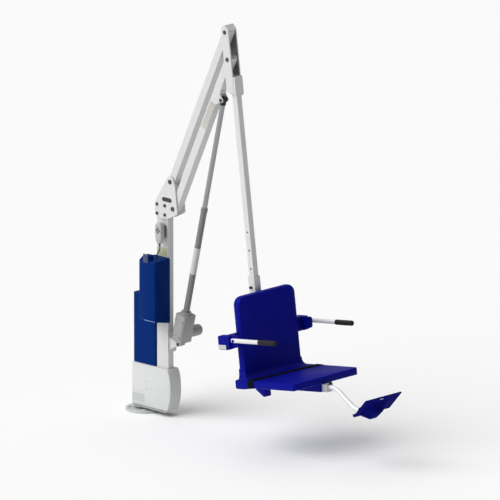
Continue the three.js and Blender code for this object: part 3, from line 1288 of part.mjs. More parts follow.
// The hanger leans back by the tilt of its pivots, and everything on it is square to the post
const hanger = new THREE.Group();
hanger.position.set(
  pivots.upperX + arm.length * Math.cos(arm.angle * degrees), 0,
  pivots.upperZ + arm.length * Math.sin(arm.angle * degrees));
hanger.rotation.y = -pivots.hangerTilt * degrees;
turntable.add(hanger);
piece(hanger, 'head_bracket', headBracket(), 'white');
const hangerGrip = knuckle.halfGap + head.thickness;
[['upper_hanger_pin', 0], ['lower_hanger_pin', -pivots.spacing]].forEach(([name, z]) => {
  const pin = throughPin(arm.pinRadius, hangerGrip, head.pinHeadRadius, head.pinHeadHeight);
  piece(hanger, name, pin, 'steel').position.set(0, 0, z);
});
piece(hanger, 'seat_post', seatPost(), 'white');
piece(hanger, 'seat_sleeve', seatSleeve(), 'white');
piece(hanger, 'height_plunger', heightPlunger(), 'black');
piece(hanger, 'crossbar', seatCrossbar(), 'blue');
for (const [label, side] of [['near', -1], ['far', 1]]) {
  piece(hanger, `armrest_bracket_${label}`, armrestBracket(side), 'blue');
  piece(hanger, `armrest_tube_${label}`, armrestTube(side), 'steel');
  piece(hanger, `armrest_grip_${label}`, armrestGrip(side), 'black');
}
piece(hanger, 'seat_shell', seatShell(), 'blue');
piece(hanger, 'seat_frame', seatFrame(), 'grey');
piece(hanger, 'lap_belt', lapBelt(), 'black');
piece(hanger, 'footrest_tube', footrestTube(), 'steel');
piece(hanger, 'footrest_plate', footrestPlate(), 'blue');
piece(hanger, 'footrest_clip', footrestClip(), 'black');

export default lift;
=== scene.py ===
"""Dresses a pool patient lift for its portrait.

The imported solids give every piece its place. Each sub-assembly below refines the solids that it
owns, adds the small parts that solids leave out, and gives every surface its finish. Lengths are in
metres and angles in degrees, unless a docstring says otherwise.
"""

import json
import logging
import math
from dataclasses import dataclass
from enum import Enum
from functools import cache
from typing import Sequence

import bmesh
import bpy
from mathutils import Matrix, Vector


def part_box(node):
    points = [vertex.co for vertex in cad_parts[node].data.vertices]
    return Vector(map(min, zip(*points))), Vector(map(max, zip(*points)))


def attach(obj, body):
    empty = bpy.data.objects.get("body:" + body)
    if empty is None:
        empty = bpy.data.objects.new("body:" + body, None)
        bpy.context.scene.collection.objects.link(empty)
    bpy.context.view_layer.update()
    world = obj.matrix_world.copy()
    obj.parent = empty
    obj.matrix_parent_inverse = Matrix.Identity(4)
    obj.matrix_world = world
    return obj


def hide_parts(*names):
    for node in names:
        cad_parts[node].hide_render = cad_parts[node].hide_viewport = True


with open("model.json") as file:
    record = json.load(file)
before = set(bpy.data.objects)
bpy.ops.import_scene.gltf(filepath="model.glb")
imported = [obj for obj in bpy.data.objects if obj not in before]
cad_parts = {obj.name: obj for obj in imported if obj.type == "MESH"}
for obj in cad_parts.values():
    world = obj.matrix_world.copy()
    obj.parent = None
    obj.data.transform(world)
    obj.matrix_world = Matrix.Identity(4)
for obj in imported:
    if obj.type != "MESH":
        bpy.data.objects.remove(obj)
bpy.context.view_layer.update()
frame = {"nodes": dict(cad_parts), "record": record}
LOG = logging.getLogger("pool_lift")

Pair = tuple[float, float]
Triple = tuple[float, float, float]
Tree, Node, Socket, Piece = (bpy.types.NodeTree, bpy.types.Node, bpy.types.NodeSocket,
                             bpy.types.Object)
BMesh = bmesh.types.BMesh

NODE_BODY = {node: body for body, nodes in frame["record"]["behaviour"]["bodies"].items() for node in nodes}
PLAIN = Matrix.Identity(4)
shift = Matrix.Translation

MERGE, WELD = 2e-5, 1e-6  # distance at which doubled points merge, in solids and in new meshes
ON_AXIS = 1e-7  # a turned profile's point under this radius lies on the axis
FLAT = 0.6  # faces that turn by less lie in one plane
TURNED_SMOOTH, TRIM_SMOOTH, SKIN_SMOOTH = 32.0, 40.0, 35.0  # largest turns that are shaded smooth


class Grain(Enum):
    """The kinds of surface texture that the lift's makers leave."""

    POWDER = "powder coat's fine orange peel"
    MOULDED = "stipple of moulded plastic"
    CAST = "sand texture of a casting"
    BRUSHED = "fine lines along the metal"
    RUBBER = "dull open rubber"
    WOVEN = "crossed yarns of webbing"


class Facing(Enum):
    """Where the Z axis of a turned frame points, as a turn about one of the frame's axes."""

    NEAR = (90.0, "X")
    FAR = (-90.0, "X")
    FRONT = (90.0, "Y")


SIDES = (("near", -1.0, Facing.NEAR), ("far", 1.0, Facing.FAR))


# Node trees

def feed(tree: Tree, node: Node, feeds: dict) -> None:
    """Gives a node's inputs what goes into them.

    Args:
        tree: the tree that the node is in.
        node: the node.
        feeds: for each input, by name or number, a socket to link, a node whose first output to link,
            or a value to set.
    """
    for label, value in feeds.items():
        if isinstance(value, Node):
            value = value.outputs[0]
        if isinstance(value, Socket):
            tree.links.new(value, node.inputs[label])
        else:
            node.inputs[label].default_value = value


def wire(tree: Tree, kind: str, feeds: dict | None = None, **settings: object) -> Node:
    """Adds a node to a tree.

    Args:
        tree: the tree.
        kind: the node's type.
        feeds: what goes into its inputs, as feed takes it.
        settings: properties of the node, set before its inputs are.

    Returns:
        The new node.
    """
    node = tree.nodes.new(kind)
    for label, value in settings.items():
        setattr(node, label, value)
    feed(tree, node, feeds or {})
    return node


def maths(tree: Tree, operation: str, *values: object) -> Socket:
    """Adds a sum to a tree."""
    return wire(tree, "ShaderNodeMath", dict(enumerate(values)), operation=operation).outputs[0]


def new_tree(kind: str, name: str, inputs: dict[str, object], outputs: dict[str, str]) -> tuple:
    """Makes a node group with its sockets.

    Args:
        kind: the type of its tree.
        name: its name.
        inputs: the default of each input, whose type is the socket's, or the socket's type by name.
        outputs: the socket type of each output.

    Returns:
        The tree, the sockets that bring its inputs and the sockets that take its outputs.
    """
    kinds = {float: "Float", int: "Int", tuple: "Color"}
    tree = bpy.data.node_groups.new(name, kind)
    for label, value in inputs.items():
        plain = isinstance(value, str)
        socket = tree.interface.new_socket(
            label, in_out="INPUT", socket_type=f"NodeSocket{value if plain else kinds[type(value)]}")
        if not plain:
            socket.default_value = value
    for label, value in outputs.items():
        tree.interface.new_socket(label, in_out="OUTPUT", socket_type=f"NodeSocket{value}")
    return tree, tree.nodes.new("NodeGroupInput").outputs, tree.nodes.new("NodeGroupOutput").inputs


class Groups:
    """Shader node groups that several finishes share.

    EDGE_COSINES are the cosines of the rounded normal's turn where wear starts and is full, and
    EDGE_PATCHES the scale of the noise that breaks it up and the range where it shows. COARSE_SCALE is
    the scale of the coarse grain as a share of the fine one's.
    """

    EDGE_COSINES = (0.995, 0.86)
    EDGE_PATCHES = (90.0, 0.45, 0.62)
    COARSE_SCALE = 0.23

    @staticmethod
    @cache
    def tonal_drift() -> Tree:
        """Slow drift of colour and gloss over a painted or moulded surface.

        Returns:
            The node group.
        """
        tree, given, sink = new_tree("ShaderNodeTree", "tonal_drift", {
            "Vector": "Vector", "Colour": (1.0, 1.0, 1.0, 1.0), "Scale": 4.0, "Amount": 0.06,
            "Roughness": 0.5}, {"Colour": "Color", "Roughness": "Float"})
        noise = wire(tree, "ShaderNodeTexNoise", {
            "Vector": given["Vector"], "Scale": given["Scale"], "Detail": 4.0})
        centred = maths(tree, "SUBTRACT", noise, 0.5)
        swing = maths(tree, "MULTIPLY_ADD", centred, given["Amount"], 1.0)
        tint = wire(tree, "ShaderNodeVectorMath", {0: given["Colour"], "Scale": swing}, operation="SCALE")
        tree.links.new(tint.outputs[0], sink["Colour"])
        tree.links.new(maths(tree, "MULTIPLY", given["Roughness"], swing), sink["Roughness"])
        return tree

    @staticmethod
    @cache
    def edge_wear() -> Tree:
        """A mask of the outer edges, broken up, where paint rubs and dirt doesn't settle.

        Returns:
            The node group.
        """
        tree, given, sink = new_tree("ShaderNodeTree", "edge_wear", {
            "Vector": "Vector", "Radius": 0.002, "Amount": 0.5}, {"Mask": "Float"})
        start, full = Groups.EDGE_COSINES
        scale, low, high = Groups.EDGE_PATCHES
        rounded = wire(tree, "ShaderNodeBevel", {"Radius": given["Radius"]}, samples=4)
        plain = wire(tree, "ShaderNodeNewGeometry")
        turn = wire(tree, "ShaderNodeVectorMath", {0: rounded.outputs["Normal"], 1: plain.outputs["Normal"]},
                    operation="DOT_PRODUCT")
        edge = wire(tree, "ShaderNodeMapRange", {
            "Value": turn.outputs["Value"], "From Min": start, "From Max": full})
        noise = wire(tree, "ShaderNodeTexNoise", {"Vector": given["Vector"], "Scale": scale, "Detail": 5.0})
        patch = wire(tree, "ShaderNodeMapRange", {
            "Value": noise, "From Min": low, "From Max": high})
        both = maths(tree, "MULTIPLY", edge, patch)
        mask = wire(tree, "ShaderNodeMath", {0: both, 1: given["Amount"]}, operation="MULTIPLY",
                    use_clamp=True)
        tree.links.new(mask.outputs[0], sink["Mask"])
        return tree

    @staticmethod
    @cache
    def fine_relief() -> Tree:
        """Height of a fine grained surface, from two sizes of noise.

        Returns:
            The node group.
        """
        tree, given, sink = new_tree("ShaderNodeTree", "fine_relief", {
            "Vector": "Vector", "Scale": 500.0, "Coarse Share": 0.3}, {"Height": "Float"})
        fine = wire(tree, "ShaderNodeTexNoise", {
            "Vector": given["Vector"], "Scale": given["Scale"], "Detail": 3.0})
        coarse = wire(tree, "ShaderNodeTexNoise", {
            "Vector": given["Vector"], "Scale": maths(tree, "MULTIPLY", given["Scale"], Groups.COARSE_SCALE)})
        mix = wire(tree, "ShaderNodeMix", {"Factor": given["Coarse Share"], "A": fine, "B": coarse})
        tree.links.new(mix.outputs["Result"], sink["Height"])
        return tree


COAT_ROUGHNESS = 0.12
DRIFT_SCALE = 5.0
BUMP_DISTANCE = 0.0004
BRUSH_STRETCH = (1.0, 1.0, 0.03)
COARSE_SHARE, CAST_COARSE_SHARE = 0.25, 0.6
YARNS = (("X", 2.6), ("Y", 4.4))


@dataclass(frozen=True)
class Finish:
    """A surface finish, made into a material once.

    slot is the record's material slot, which the script doesn't use, coat the weight of a clear outer
    layer, and specular the strength of the plain reflection, 0.5 for most plastics and paints. relief is
    the depth of the fine texture and relief_scale its repeats in a metre. drift is how far colour and gloss
    wander, and wear how strongly edges show the worn_colour under the finish.
    """

    name: str
    slot: str
    colour: Triple
    roughness: float
    grain: Grain = Grain.POWDER
    metallic: float = 0.0
    coat: float = 0.0
    specular: float = 0.5
    relief: float = 0.15
    relief_scale: float = 420.0
    drift: float = 0.08
    wear: float = 0.0
    worn_colour: Triple = (0.35, 0.35, 0.36)

    def material(self) -> bpy.types.Material:
        """The material of this finish, made the first time that it is asked for.

        Returns:
            The material.
        """
        known = bpy.data.materials.get(self.name)
        if known is not None:
            return known
        material = bpy.data.materials.new(self.name)
        material.use_nodes = True
        tree = material.node_tree
        place = wire(tree, "ShaderNodeTexCoord").outputs["Object"]
        drift = wire(tree, "ShaderNodeGroup", {
            "Vector": place, "Colour": (*self.colour, 1.0), "Scale": DRIFT_SCALE, "Amount": self.drift,
            "Roughness": self.roughness}, node_tree=Groups.tonal_drift())
        colour = drift.outputs["Colour"]
        if self.wear > 0.0:
            wear = wire(tree, "ShaderNodeGroup", {"Vector": place, "Amount": self.wear},
                        node_tree=Groups.edge_wear())
            colour = wire(tree, "ShaderNodeMix", {
                "Factor": wear.outputs["Mask"], "A": colour, "B": (*self.worn_colour, 1.0)},
                data_type="RGBA").outputs["Result"]
        bump = wire(tree, "ShaderNodeBump", {
            "Strength": self.relief, "Distance": BUMP_DISTANCE, "Height": self._height(tree, place)})
        feed(tree, tree.nodes["Principled BSDF"], {
            "Metallic": self.metallic, "Coat Weight": self.coat, "Coat Roughness": COAT_ROUGHNESS,
            "Specular IOR Level": self.specular, "Base Color": colour,
            "Roughness": drift.outputs["Roughness"], "Normal": bump.outputs["Normal"]})
        return material

    def _height(self, tree: Tree, place: Socket) -> Socket:
        """The height that the finish's grain gives to the bump.

        Args:
            tree: the material's node tree.
            place: the coordinates to read.

        Returns:
            The socket that carries the height.
        """
        if self.grain is Grain.WOVEN:
            return self._weave(tree)
        if self.grain is Grain.MOULDED:
            cells = wire(tree, "ShaderNodeTexVoronoi", {"Vector": place, "Scale": self.relief_scale})
            return cells.outputs["Distance"]
        if self.grain is Grain.BRUSHED:
            place = wire(tree, "ShaderNodeMapping", {"Vector": place, "Scale": BRUSH_STRETCH})
        share = CAST_COARSE_SHARE if self.grain is Grain.CAST else COARSE_SHARE
        relief = wire(tree, "ShaderNodeGroup", {
            "Vector": place, "Scale": self.relief_scale, "Coarse Share": share},
            node_tree=Groups.fine_relief())
        return relief.outputs["Height"]

    @staticmethod
    def _weave(tree: Tree) -> Socket:
        """Crossed yarns that follow the webbing by its own UV map, one unit a millimetre.

        Args:
            tree: the material's node tree.

        Returns:
            The socket that carries the height.
        """
        parts = wire(tree, "ShaderNodeSeparateXYZ", {0: wire(tree, "ShaderNodeTexCoord").outputs["UV"]})
        waves = [maths(tree, "SINE", maths(tree, "MULTIPLY", parts.outputs[axis], pitch))
                 for axis, pitch in YARNS]
        return maths(tree, "MULTIPLY", *waves)


WHITE_COAT = Finish(
    "white_powder_coat", "white_coat", (0.627, 0.632, 0.627), 0.36, coat=0.12, relief=0.12,
    relief_scale=380.0, drift=0.05, wear=0.35)
GREY_COAT = Finish(
    "grey_powder_coat", "grey_coat", (0.33, 0.34, 0.345), 0.42, drift=0.12, wear=0.5,
    worn_colour=(0.5, 0.5, 0.5))
# The flange's grey coat lightened as painted light, for its top face that turns up to the lights.
FLANGE_PAINTED_LIGHT = Finish(
    "flange_grey_painted_light", "grey_coat", (0.50, 0.51, 0.505), 0.42, drift=0.12, wear=0.5, worn_colour=(0.6, 0.6, 0.6))
TUBE_COAT = Finish(
    "actuator_tube_paint", "grey_coat", (0.175, 0.18, 0.183), 0.32, coat=0.2, relief=0.08, drift=0.1)
BLUE_COAT = Finish(
    "blue_powder_coat", "blue_coat", (0.0035, 0.0055, 0.215), 0.42, specular=0.04, relief=0.12, wear=0.2,
    worn_colour=(0.02, 0.025, 0.3))
STEEL = Finish(
    "brushed_stainless", "steel", (0.66, 0.67, 0.68), 0.24, Grain.BRUSHED, metallic=1.0, relief=0.1,
    relief_scale=900.0, drift=0.06)
# Steel whose pale, barely metallic colour is painted reflection, standing in for the bright studio that
# polished steel mirrors.
TUBE_PAINTED_REFLECTION = Finish(
    "steel_tube_painted_reflection", "steel", (0.74, 0.75, 0.77), 0.22, Grain.BRUSHED, metallic=0.15, relief=0.04,
    relief_scale=900.0, drift=0.04)
RECEIVER = Finish(
    "bare_receiver", "steel", (0.5, 0.5, 0.53), 0.35, Grain.BRUSHED, metallic=0.2, relief=0.08, drift=0.1)
FASTENER = Finish(
    "zinc_fastener", "steel", (0.055, 0.055, 0.057), 0.4, Grain.BRUSHED, metallic=0.25, relief=0.1,
    drift=0.15)
BRONZE = Finish("bearing_bronze", "bronze", (0.5, 0.31, 0.11), 0.35, Grain.BRUSHED, metallic=1.0, drift=0.15)
ROD_COAT = Finish(
    "rod_coat", "steel", (0.30, 0.31, 0.315), 0.28, Grain.BRUSHED, metallic=0.6, relief=0.05, drift=0.06)
# Dark grey painted as shade: the sheets behind the knuckle plates' slots and on the head bracket's far inner
# face.
PAINTED_SHADE_STEEL = Finish(
    "painted_shade_lining", "steel", (0.15, 0.152, 0.15), 0.35, Grain.BRUSHED, metallic=0.4, relief=0.1, drift=0.3)
CASTING = Finish(
    "cast_housing", "casting", (0.32, 0.325, 0.31), 0.5, Grain.CAST, relief=0.4, relief_scale=240.0,
    drift=0.12, wear=0.4, worn_colour=(0.5, 0.5, 0.49))
COVER_WHITE = Finish(
    "moulded_white", "cover_plastic", (0.607, 0.614, 0.612), 0.4, Grain.MOULDED, relief=0.05,
    relief_scale=700.0, drift=0.04)
NAVY = Finish(
    "moulded_navy", "navy_plastic", (0.0006, 0.021, 0.142), 0.38, Grain.MOULDED, specular=0.03, relief=0.04,
    relief_scale=600.0, drift=0.1, wear=0.2, worn_colour=(0.004, 0.04, 0.22))
CATCH = Finish(
    "catch_plastic", "navy_plastic", (0.035, 0.055, 0.125), 0.35, Grain.MOULDED, relief=0.05, drift=0.1)
# Light navy painted as the highlight along the control box's near bottom edge.
PAINTED_EDGE_HIGHLIGHT = Finish("navy_painted_highlight", "navy_plastic", (0.13, 0.28, 0.54), 0.3, relief=0.02)
SEAT_BLUE = Finish(
    "rotomoulded_blue", "seat_plastic", (0.0034, 0.0056, 0.235), 0.42, Grain.MOULDED, specular=0.045,
    relief=0.12, relief_scale=520.0, drift=0.1)
# The seat's blue darkened as painted shade, for the footrest plate's front and underside that turn away from
# the light.
PAINTED_SHADE_FOOTREST = Finish(
    "footrest_painted_shade_blue", "seat_plastic", (0.0022, 0.0038, 0.135), 0.6, Grain.MOULDED, specular=0.01, relief=0.12,
    relief_scale=520.0, drift=0.1)
BLACK = Finish(
    "moulded_black", "black_plastic", (0.010, 0.010, 0.011), 0.45, Grain.MOULDED, specular=0.3, relief=0.1,
    relief_scale=500.0, drift=0.15)
HOLDER_GREY = Finish(
    "holder_plastic", "black_plastic", (0.13, 0.13, 0.13), 0.45, Grain.MOULDED, specular=0.3, relief=0.1,
    relief_scale=500.0, drift=0.15)
HANDSET_GREY = Finish(
    "handset_shell", "handset_plastic", (0.42, 0.43, 0.435), 0.42, Grain.MOULDED, relief=0.06,
    relief_scale=700.0, drift=0.06)
ARM_PLATE = Finish("arm_plate", "handset_plastic", (0.46, 0.445, 0.41), 0.4, relief=0.1, drift=0.45)
LABEL = Finish("blank_plate", "handset_plastic", (0.5, 0.51, 0.51), 0.35, relief=0.03)
BAND = Finish("blank_band", "handset_plastic", (0.56, 0.56, 0.57), 0.35, relief=0.02, drift=0.1)
TAPE = Finish("pale_tape", "handset_plastic", (0.46, 0.50, 0.30), 0.4, relief=0.04, drift=0.4)
RUBBER = Finish(
    "grip_foam", "grip_rubber", (0.008, 0.008, 0.009), 0.62, Grain.RUBBER, specular=0.25, relief=0.35,
    relief_scale=700.0, drift=0.2)
KEY_GREY = Finish(
    "key_caps", "grip_rubber", (0.16, 0.16, 0.165), 0.55, Grain.RUBBER, specular=0.3, relief=0.2,
    relief_scale=700.0, drift=0.1)
WEBBING = Finish(
    "belt_webbing", "webbing", (0.003, 0.003, 0.007), 0.8, Grain.WOVEN, specular=0.08, relief=0.9, drift=0.2)
STUDIO_FLOOR = Finish("studio_floor", "white_coat", (0.93, 0.93, 0.93), 0.8, relief=0.0, drift=0.0)


@dataclass(frozen=True)
class Places:
    """The lift's own frames, from the same named sizes as the solids.

    upper is X and Z of the upper arm's pivot, and spacing the distance between the pivots of a pair.
    arm_angle is over the horizontal, and the tilts are from the vertical. Both actuator pivots lie
    actuator_reach from the lower arm's pivot, the upper one actuator_drop under the arm's axis.
    """

    upper: Pair = (0.2409, 1.3824)
    spacing: float = 0.1567
    arm_length: float = 1.040
    arm_angle: float = 65.5
    hanger_tilt: float = 7.4
    actuator_reach: float = 0.790
    actuator_drop: float = 0.048
    actuator_tilt: float = 12.9

    @staticmethod
    def _leaning(x: float, z: float, lean: float) -> Matrix:
        """A frame whose own X axis is turned up."""
        return shift((x, 0.0, z)) @ Matrix.Rotation(math.radians(-lean), 4, "Y")

    @property
    def lower(self) -> Pair:
        """Pivot of the lower arm, X and Z."""
        tilt = math.radians(self.hanger_tilt)
        return self.upper[0] + self.spacing * math.sin(tilt), self.upper[1] - self.spacing * math.cos(tilt)

    @property
    def hanger(self) -> Matrix:
        """The hanging post's frame: its origin is the upper hanger pivot, its Z runs up the post."""
        angle = math.radians(self.arm_angle)
        return self._leaning(self.upper[0] + self.arm_length * math.cos(angle),
                             self.upper[1] + self.arm_length * math.sin(angle), self.hanger_tilt)

    @property
    def lower_arm(self) -> Matrix:
        """The lower arm's frame, X along the arm."""
        return self._leaning(*self.lower, self.arm_angle)

    @property
    def _actuator_ends(self) -> tuple[Vector, Vector]:
        """Foot pivot and upper pin of the actuator."""
        x, z = self.lower
        angle = math.radians(self.arm_angle) - math.asin(self.actuator_drop / self.actuator_reach)
        pin = Vector((x + self.actuator_reach * math.cos(angle), 0.0,
                      z + self.actuator_reach * math.sin(angle)))
        tilt = math.radians(self.actuator_tilt)
        along = Vector((math.sin(tilt), 0.0, math.cos(tilt)))
        length = 2.0 * (pin - Vector((x, 0.0, z))).dot(along)
        return pin - along * length, pin

    @property
    def actuator(self) -> Matrix:
        """The actuator's frame: foot pivot, Z along the tube."""
        foot = self._actuator_ends[0]
        return self._leaning(foot.x, foot.z, -self.actuator_tilt)

    @property
    def rod(self) -> Matrix:
        """The rod's frame: upper pin, Z along the tube."""
        pin = self._actuator_ends[1]
        return self._leaning(pin.x, pin.z, -self.actuator_tilt)


PLACES = Places()


# Shapes

def turned(place: Matrix, facing: Facing) -> Matrix:
    """A frame turned to another side, for fasteners and bars."""
    angle, about = facing.value
    return place @ Matrix.Rotation(math.radians(angle), 4, about)


def spline(points: Sequence[Vector], steps: int) -> list[Vector]:
    """A smooth path through points.

    Args:
        points: the points to pass through.
        steps: stations from each point to the next.

    Returns:
        The stations, the first and last point included.
    """
    padded = [points[0] * 2 - points[1], *points, points[-1] * 2 - points[-2]]
    path = []
    for a, b, c, d in zip(padded, padded[1:], padded[2:], padded[3:]):
        for i in range(steps):
            t = i / steps
            path.append(0.5 * ((2 * b) + (c - a) * t + (2 * a - 5 * b + 4 * c - d) * t * t
                               + (3 * b - a - 3 * c + d) * t ** 3))
    path.append(points[-1].copy())
    return path


def circle(sides: int, start: float = 0.0) -> list[Pair]:
    """Points round a circle of radius 1."""
    turns = [2.0 * math.pi * (k + start) / sides for k in range(sides)]
    return [(math.cos(turn), math.sin(turn)) for turn in turns]


def rounded_end(radius: float, end: float, corner: float, step: float, count: int) -> list[Pair]:
    """Points of the round between a bar's side and its end.

    Args:
        radius: the bar's radius.
        end: height of its end.
        corner: radius of the round.
        step: angle from each point to the next.
        count: how many points there are.

    Returns:
        Radius and height of each point, for a turned profile.
    """
    turns = [math.radians(step * i) for i in range(1, count + 1)]
    return [(radius - corner + corner * math.cos(turn), end - corner + corner * math.sin(turn))
            for turn in turns]


def bridge(bm: BMesh, rings: Sequence[Sequence[bmesh.types.BMVert]]) -> None:
    """Joins closed rings of points with faces, one ring to the next.

    Args:
        bm: the mesh that the points are in.
        rings: rings of the same count; a ring of one point is that point repeated.
    """
    for low, high in zip(rings, rings[1:]):
        for i in range(len(low)):
            j = (i + 1) % len(low)
            corners = list(dict.fromkeys([low[i], low[j], high[j], high[i]]))
            if len(corners) > 2:
                bm.faces.new(corners)


class Shop:
    """Makes meshes and hands them over to the frame."""

    @staticmethod
    def new_object(name: str, mesh: bpy.types.Mesh, smooth: float = 0.0) -> Piece:
        """Puts a mesh in the scene, smooth with its sharp edges left sharp.

        Args:
            name: the object's name.
            mesh: its mesh.
            smooth: the largest turn that is shaded smooth, 0 for none.

        Returns:
            The new object, at the origin.
        """
        if smooth > 0.0:
            mesh.polygons.foreach_set("use_smooth", [True] * len(mesh.polygons))
            mesh.set_sharp_from_angle(angle=math.radians(smooth))
        obj = bpy.data.objects.new(name, mesh)
        bpy.context.scene.collection.objects.link(obj)
        return obj

    @staticmethod
    def from_bmesh(name: str, bm: BMesh, place: Matrix = PLAIN, smooth: float = 0.0) -> Piece:
        """Ends mesh code: places the mesh in the row frame, turns its faces out and makes its object.

        Args:
            name: the piece's name.
            bm: the mesh, which is freed.
            place: the frame that the mesh was built in.
            smooth: the largest turn that is shaded smooth, 0 for none.

        Returns:
            The new object, at the origin.
        """
        bm.transform(place)
        bmesh.ops.remove_doubles(bm, verts=bm.verts, dist=WELD)
        bmesh.ops.recalc_face_normals(bm, faces=bm.faces)
        mesh = bpy.data.meshes.new(name)
        bm.to_mesh(mesh)
        bm.free()
        return Shop.new_object(name, mesh, smooth)

    @staticmethod
    def bevel(obj: Piece, width: float, segments: int, angle: float) -> None:
        """Adds a live bevel on a piece's edges.

        Args:
            obj: the piece.
            width: how far the edges are broken.
            segments: faces across a broken edge.
            angle: the smallest turn that counts as an edge.
        """
        modifier = obj.modifiers.new("edge_break", "BEVEL")
        modifier.width = width
        modifier.segments = segments
        modifier.limit_method = "ANGLE"
        modifier.angle_limit = math.radians(angle)
        modifier.harden_normals = True
        modifier.use_clamp_overlap = True

    @staticmethod
    def dress(obj: Piece, finish: Finish, body: str, replaces: Sequence[str] = ()) -> None:
        """Gives a piece its finish, body and the nodes that it stands for.

        Args:
            obj: the finished piece.
            finish: its finish.
            body: its CAD body.
            replaces: CAD nodes that it stands for.
        """
        if not obj.data.materials:
            obj.data.materials.append(finish.material())
        if replaces:
            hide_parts(*replaces)
        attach(obj, body)
        LOG.info("%s rides on %s", obj.name, body)

    @staticmethod
    def clean_copy(node: str) -> BMesh:
        """A copy of a solid with its doubled points merged.

        Args:
            node: the CAD node.

        Returns:
            The copy, in the row frame.
        """
        bm = bmesh.new()
        bm.from_mesh(frame["nodes"][node].data)
        bmesh.ops.remove_doubles(bm, verts=bm.verts, dist=MERGE)
        return bm

    @staticmethod
    def flatten(bm: BMesh) -> None:
        """Joins the faces of a mesh that lie in one plane."""
        bmesh.ops.dissolve_limit(bm, angle_limit=math.radians(FLAT), verts=bm.verts, edges=bm.edges)

    @staticmethod
    def refine(node: str, finish: Finish, width: float = 0.0012, segments: int = 2,
               angle: float = 30.0, smooth: float = SKIN_SMOOTH) -> None:
        """Replaces a solid by a copy with clean flat faces, broken edges and smooth rounds.

        Args:
            node: the CAD node.
            finish: its finish.
            width: how far its edges are broken.
            segments: faces across a broken edge.
            angle: the smallest turn that counts as an edge.
            smooth: the largest turn that is shaded smooth.
        """
        bm = Shop.clean_copy(node)
        Shop.flatten(bm)
        mesh = bpy.data.meshes.new(f"{node}_skin")
        bm.to_mesh(mesh)
        bm.free()
        obj = Shop.new_object(f"{node}_skin", mesh, smooth)
        if width > 0.0:
            Shop.bevel(obj, width, segments, angle)
        Shop.dress(obj, finish, NODE_BODY[node], [node])

    @staticmethod
    def keep(node: str, finish: Finish) -> None:
        """Leaves a solid as it is and gives it its finish.

        Args:
            node: the CAD node.
            finish: its finish.
        """
        obj = frame["nodes"][node]
        obj.data.materials.clear()
        obj.data.materials.append(finish.material())
        LOG.info("%s keeps its solid", node)

    @staticmethod
    def revolve(name: str, profile: Sequence[Pair], place: Matrix, finish: Finish, body: str,
                replaces: Sequence[str] = (), sides: int = 64) -> None:
        """Makes and dresses a turned piece about its own Z axis.

        Args:
            name: the piece's name.
            profile: radius and height of each point; it may close on itself.
            place: its frame.
            finish: its finish.
            body: its CAD body.
            replaces: CAD nodes that it stands for.
            sides: faces round it.
        """
        bm = bmesh.new()
        rings = []
        for radius, height in profile:
            if radius < ON_AXIS:
                rings.append([bm.verts.new((0.0, 0.0, height))] * sides)
            else:
                rings.append([bm.verts.new((radius * c, radius * s, height)) for c, s in circle(sides)])
        bridge(bm, rings)
        Shop.dress(Shop.from_bmesh(name, bm, place, TURNED_SMOOTH), finish, body, replaces)

    @staticmethod
    def trim(name: str, finish: Finish, body: str, low: Triple, high: Triple, place: Matrix = PLAIN,
             width: float = 0.0008, segments: int = 3) -> None:
        """Makes and dresses a small plate with broken edges.

        Args:
            name: the piece's name.
            finish: its finish.
            body: its CAD body.
            low: its lowest corner.
            high: its highest corner.
            place: its frame.
            width: how far its edges are broken.
            segments: faces across an edge.
        """
        bm = bmesh.new()
        bmesh.ops.create_cube(bm, size=1.0)
        for vert in bm.verts:
            for k in range(3):
                vert.co[k] = low[k] if vert.co[k] < 0 else high[k]
        bmesh.ops.bevel(bm, geom=list(bm.edges), offset=width, segments=segments, affect="EDGES", profile=0.5)
        Shop.dress(Shop.from_bmesh(name, bm, place, TRIM_SMOOTH), finish, body)

    @staticmethod
    def sweep(name: str, path: Sequence[Vector], radius: float, sides: int) -> Piece:
        """A round bar along a path in an XZ plane, closed at both ends.

        Args:
            name: the piece's name.
            path: its centreline.
            radius: its radius.
            sides: faces round it.

        Returns:
            The new object.
        """
        bm = bmesh.new()
        normal = Vector((0.0, 1.0, 0.0))
        rings = []
        for i, point in enumerate(path):
            ahead = path[min(i + 1, len(path) - 1)] - path[max(i - 1, 0)]
            ahead.normalize()
            across = (normal - ahead * normal.dot(ahead)).normalized()
            other = ahead.cross(across)
            rings.append([bm.verts.new(point + across * (radius * c) + other * (radius * s))
                          for c, s in circle(sides)])
        bridge(bm, rings)
        bm.faces.new(rings[0][::-1])
        bm.faces.new(rings[-1])
        return Shop.from_bmesh(name, bm, PLAIN, TRIM_SMOOTH)


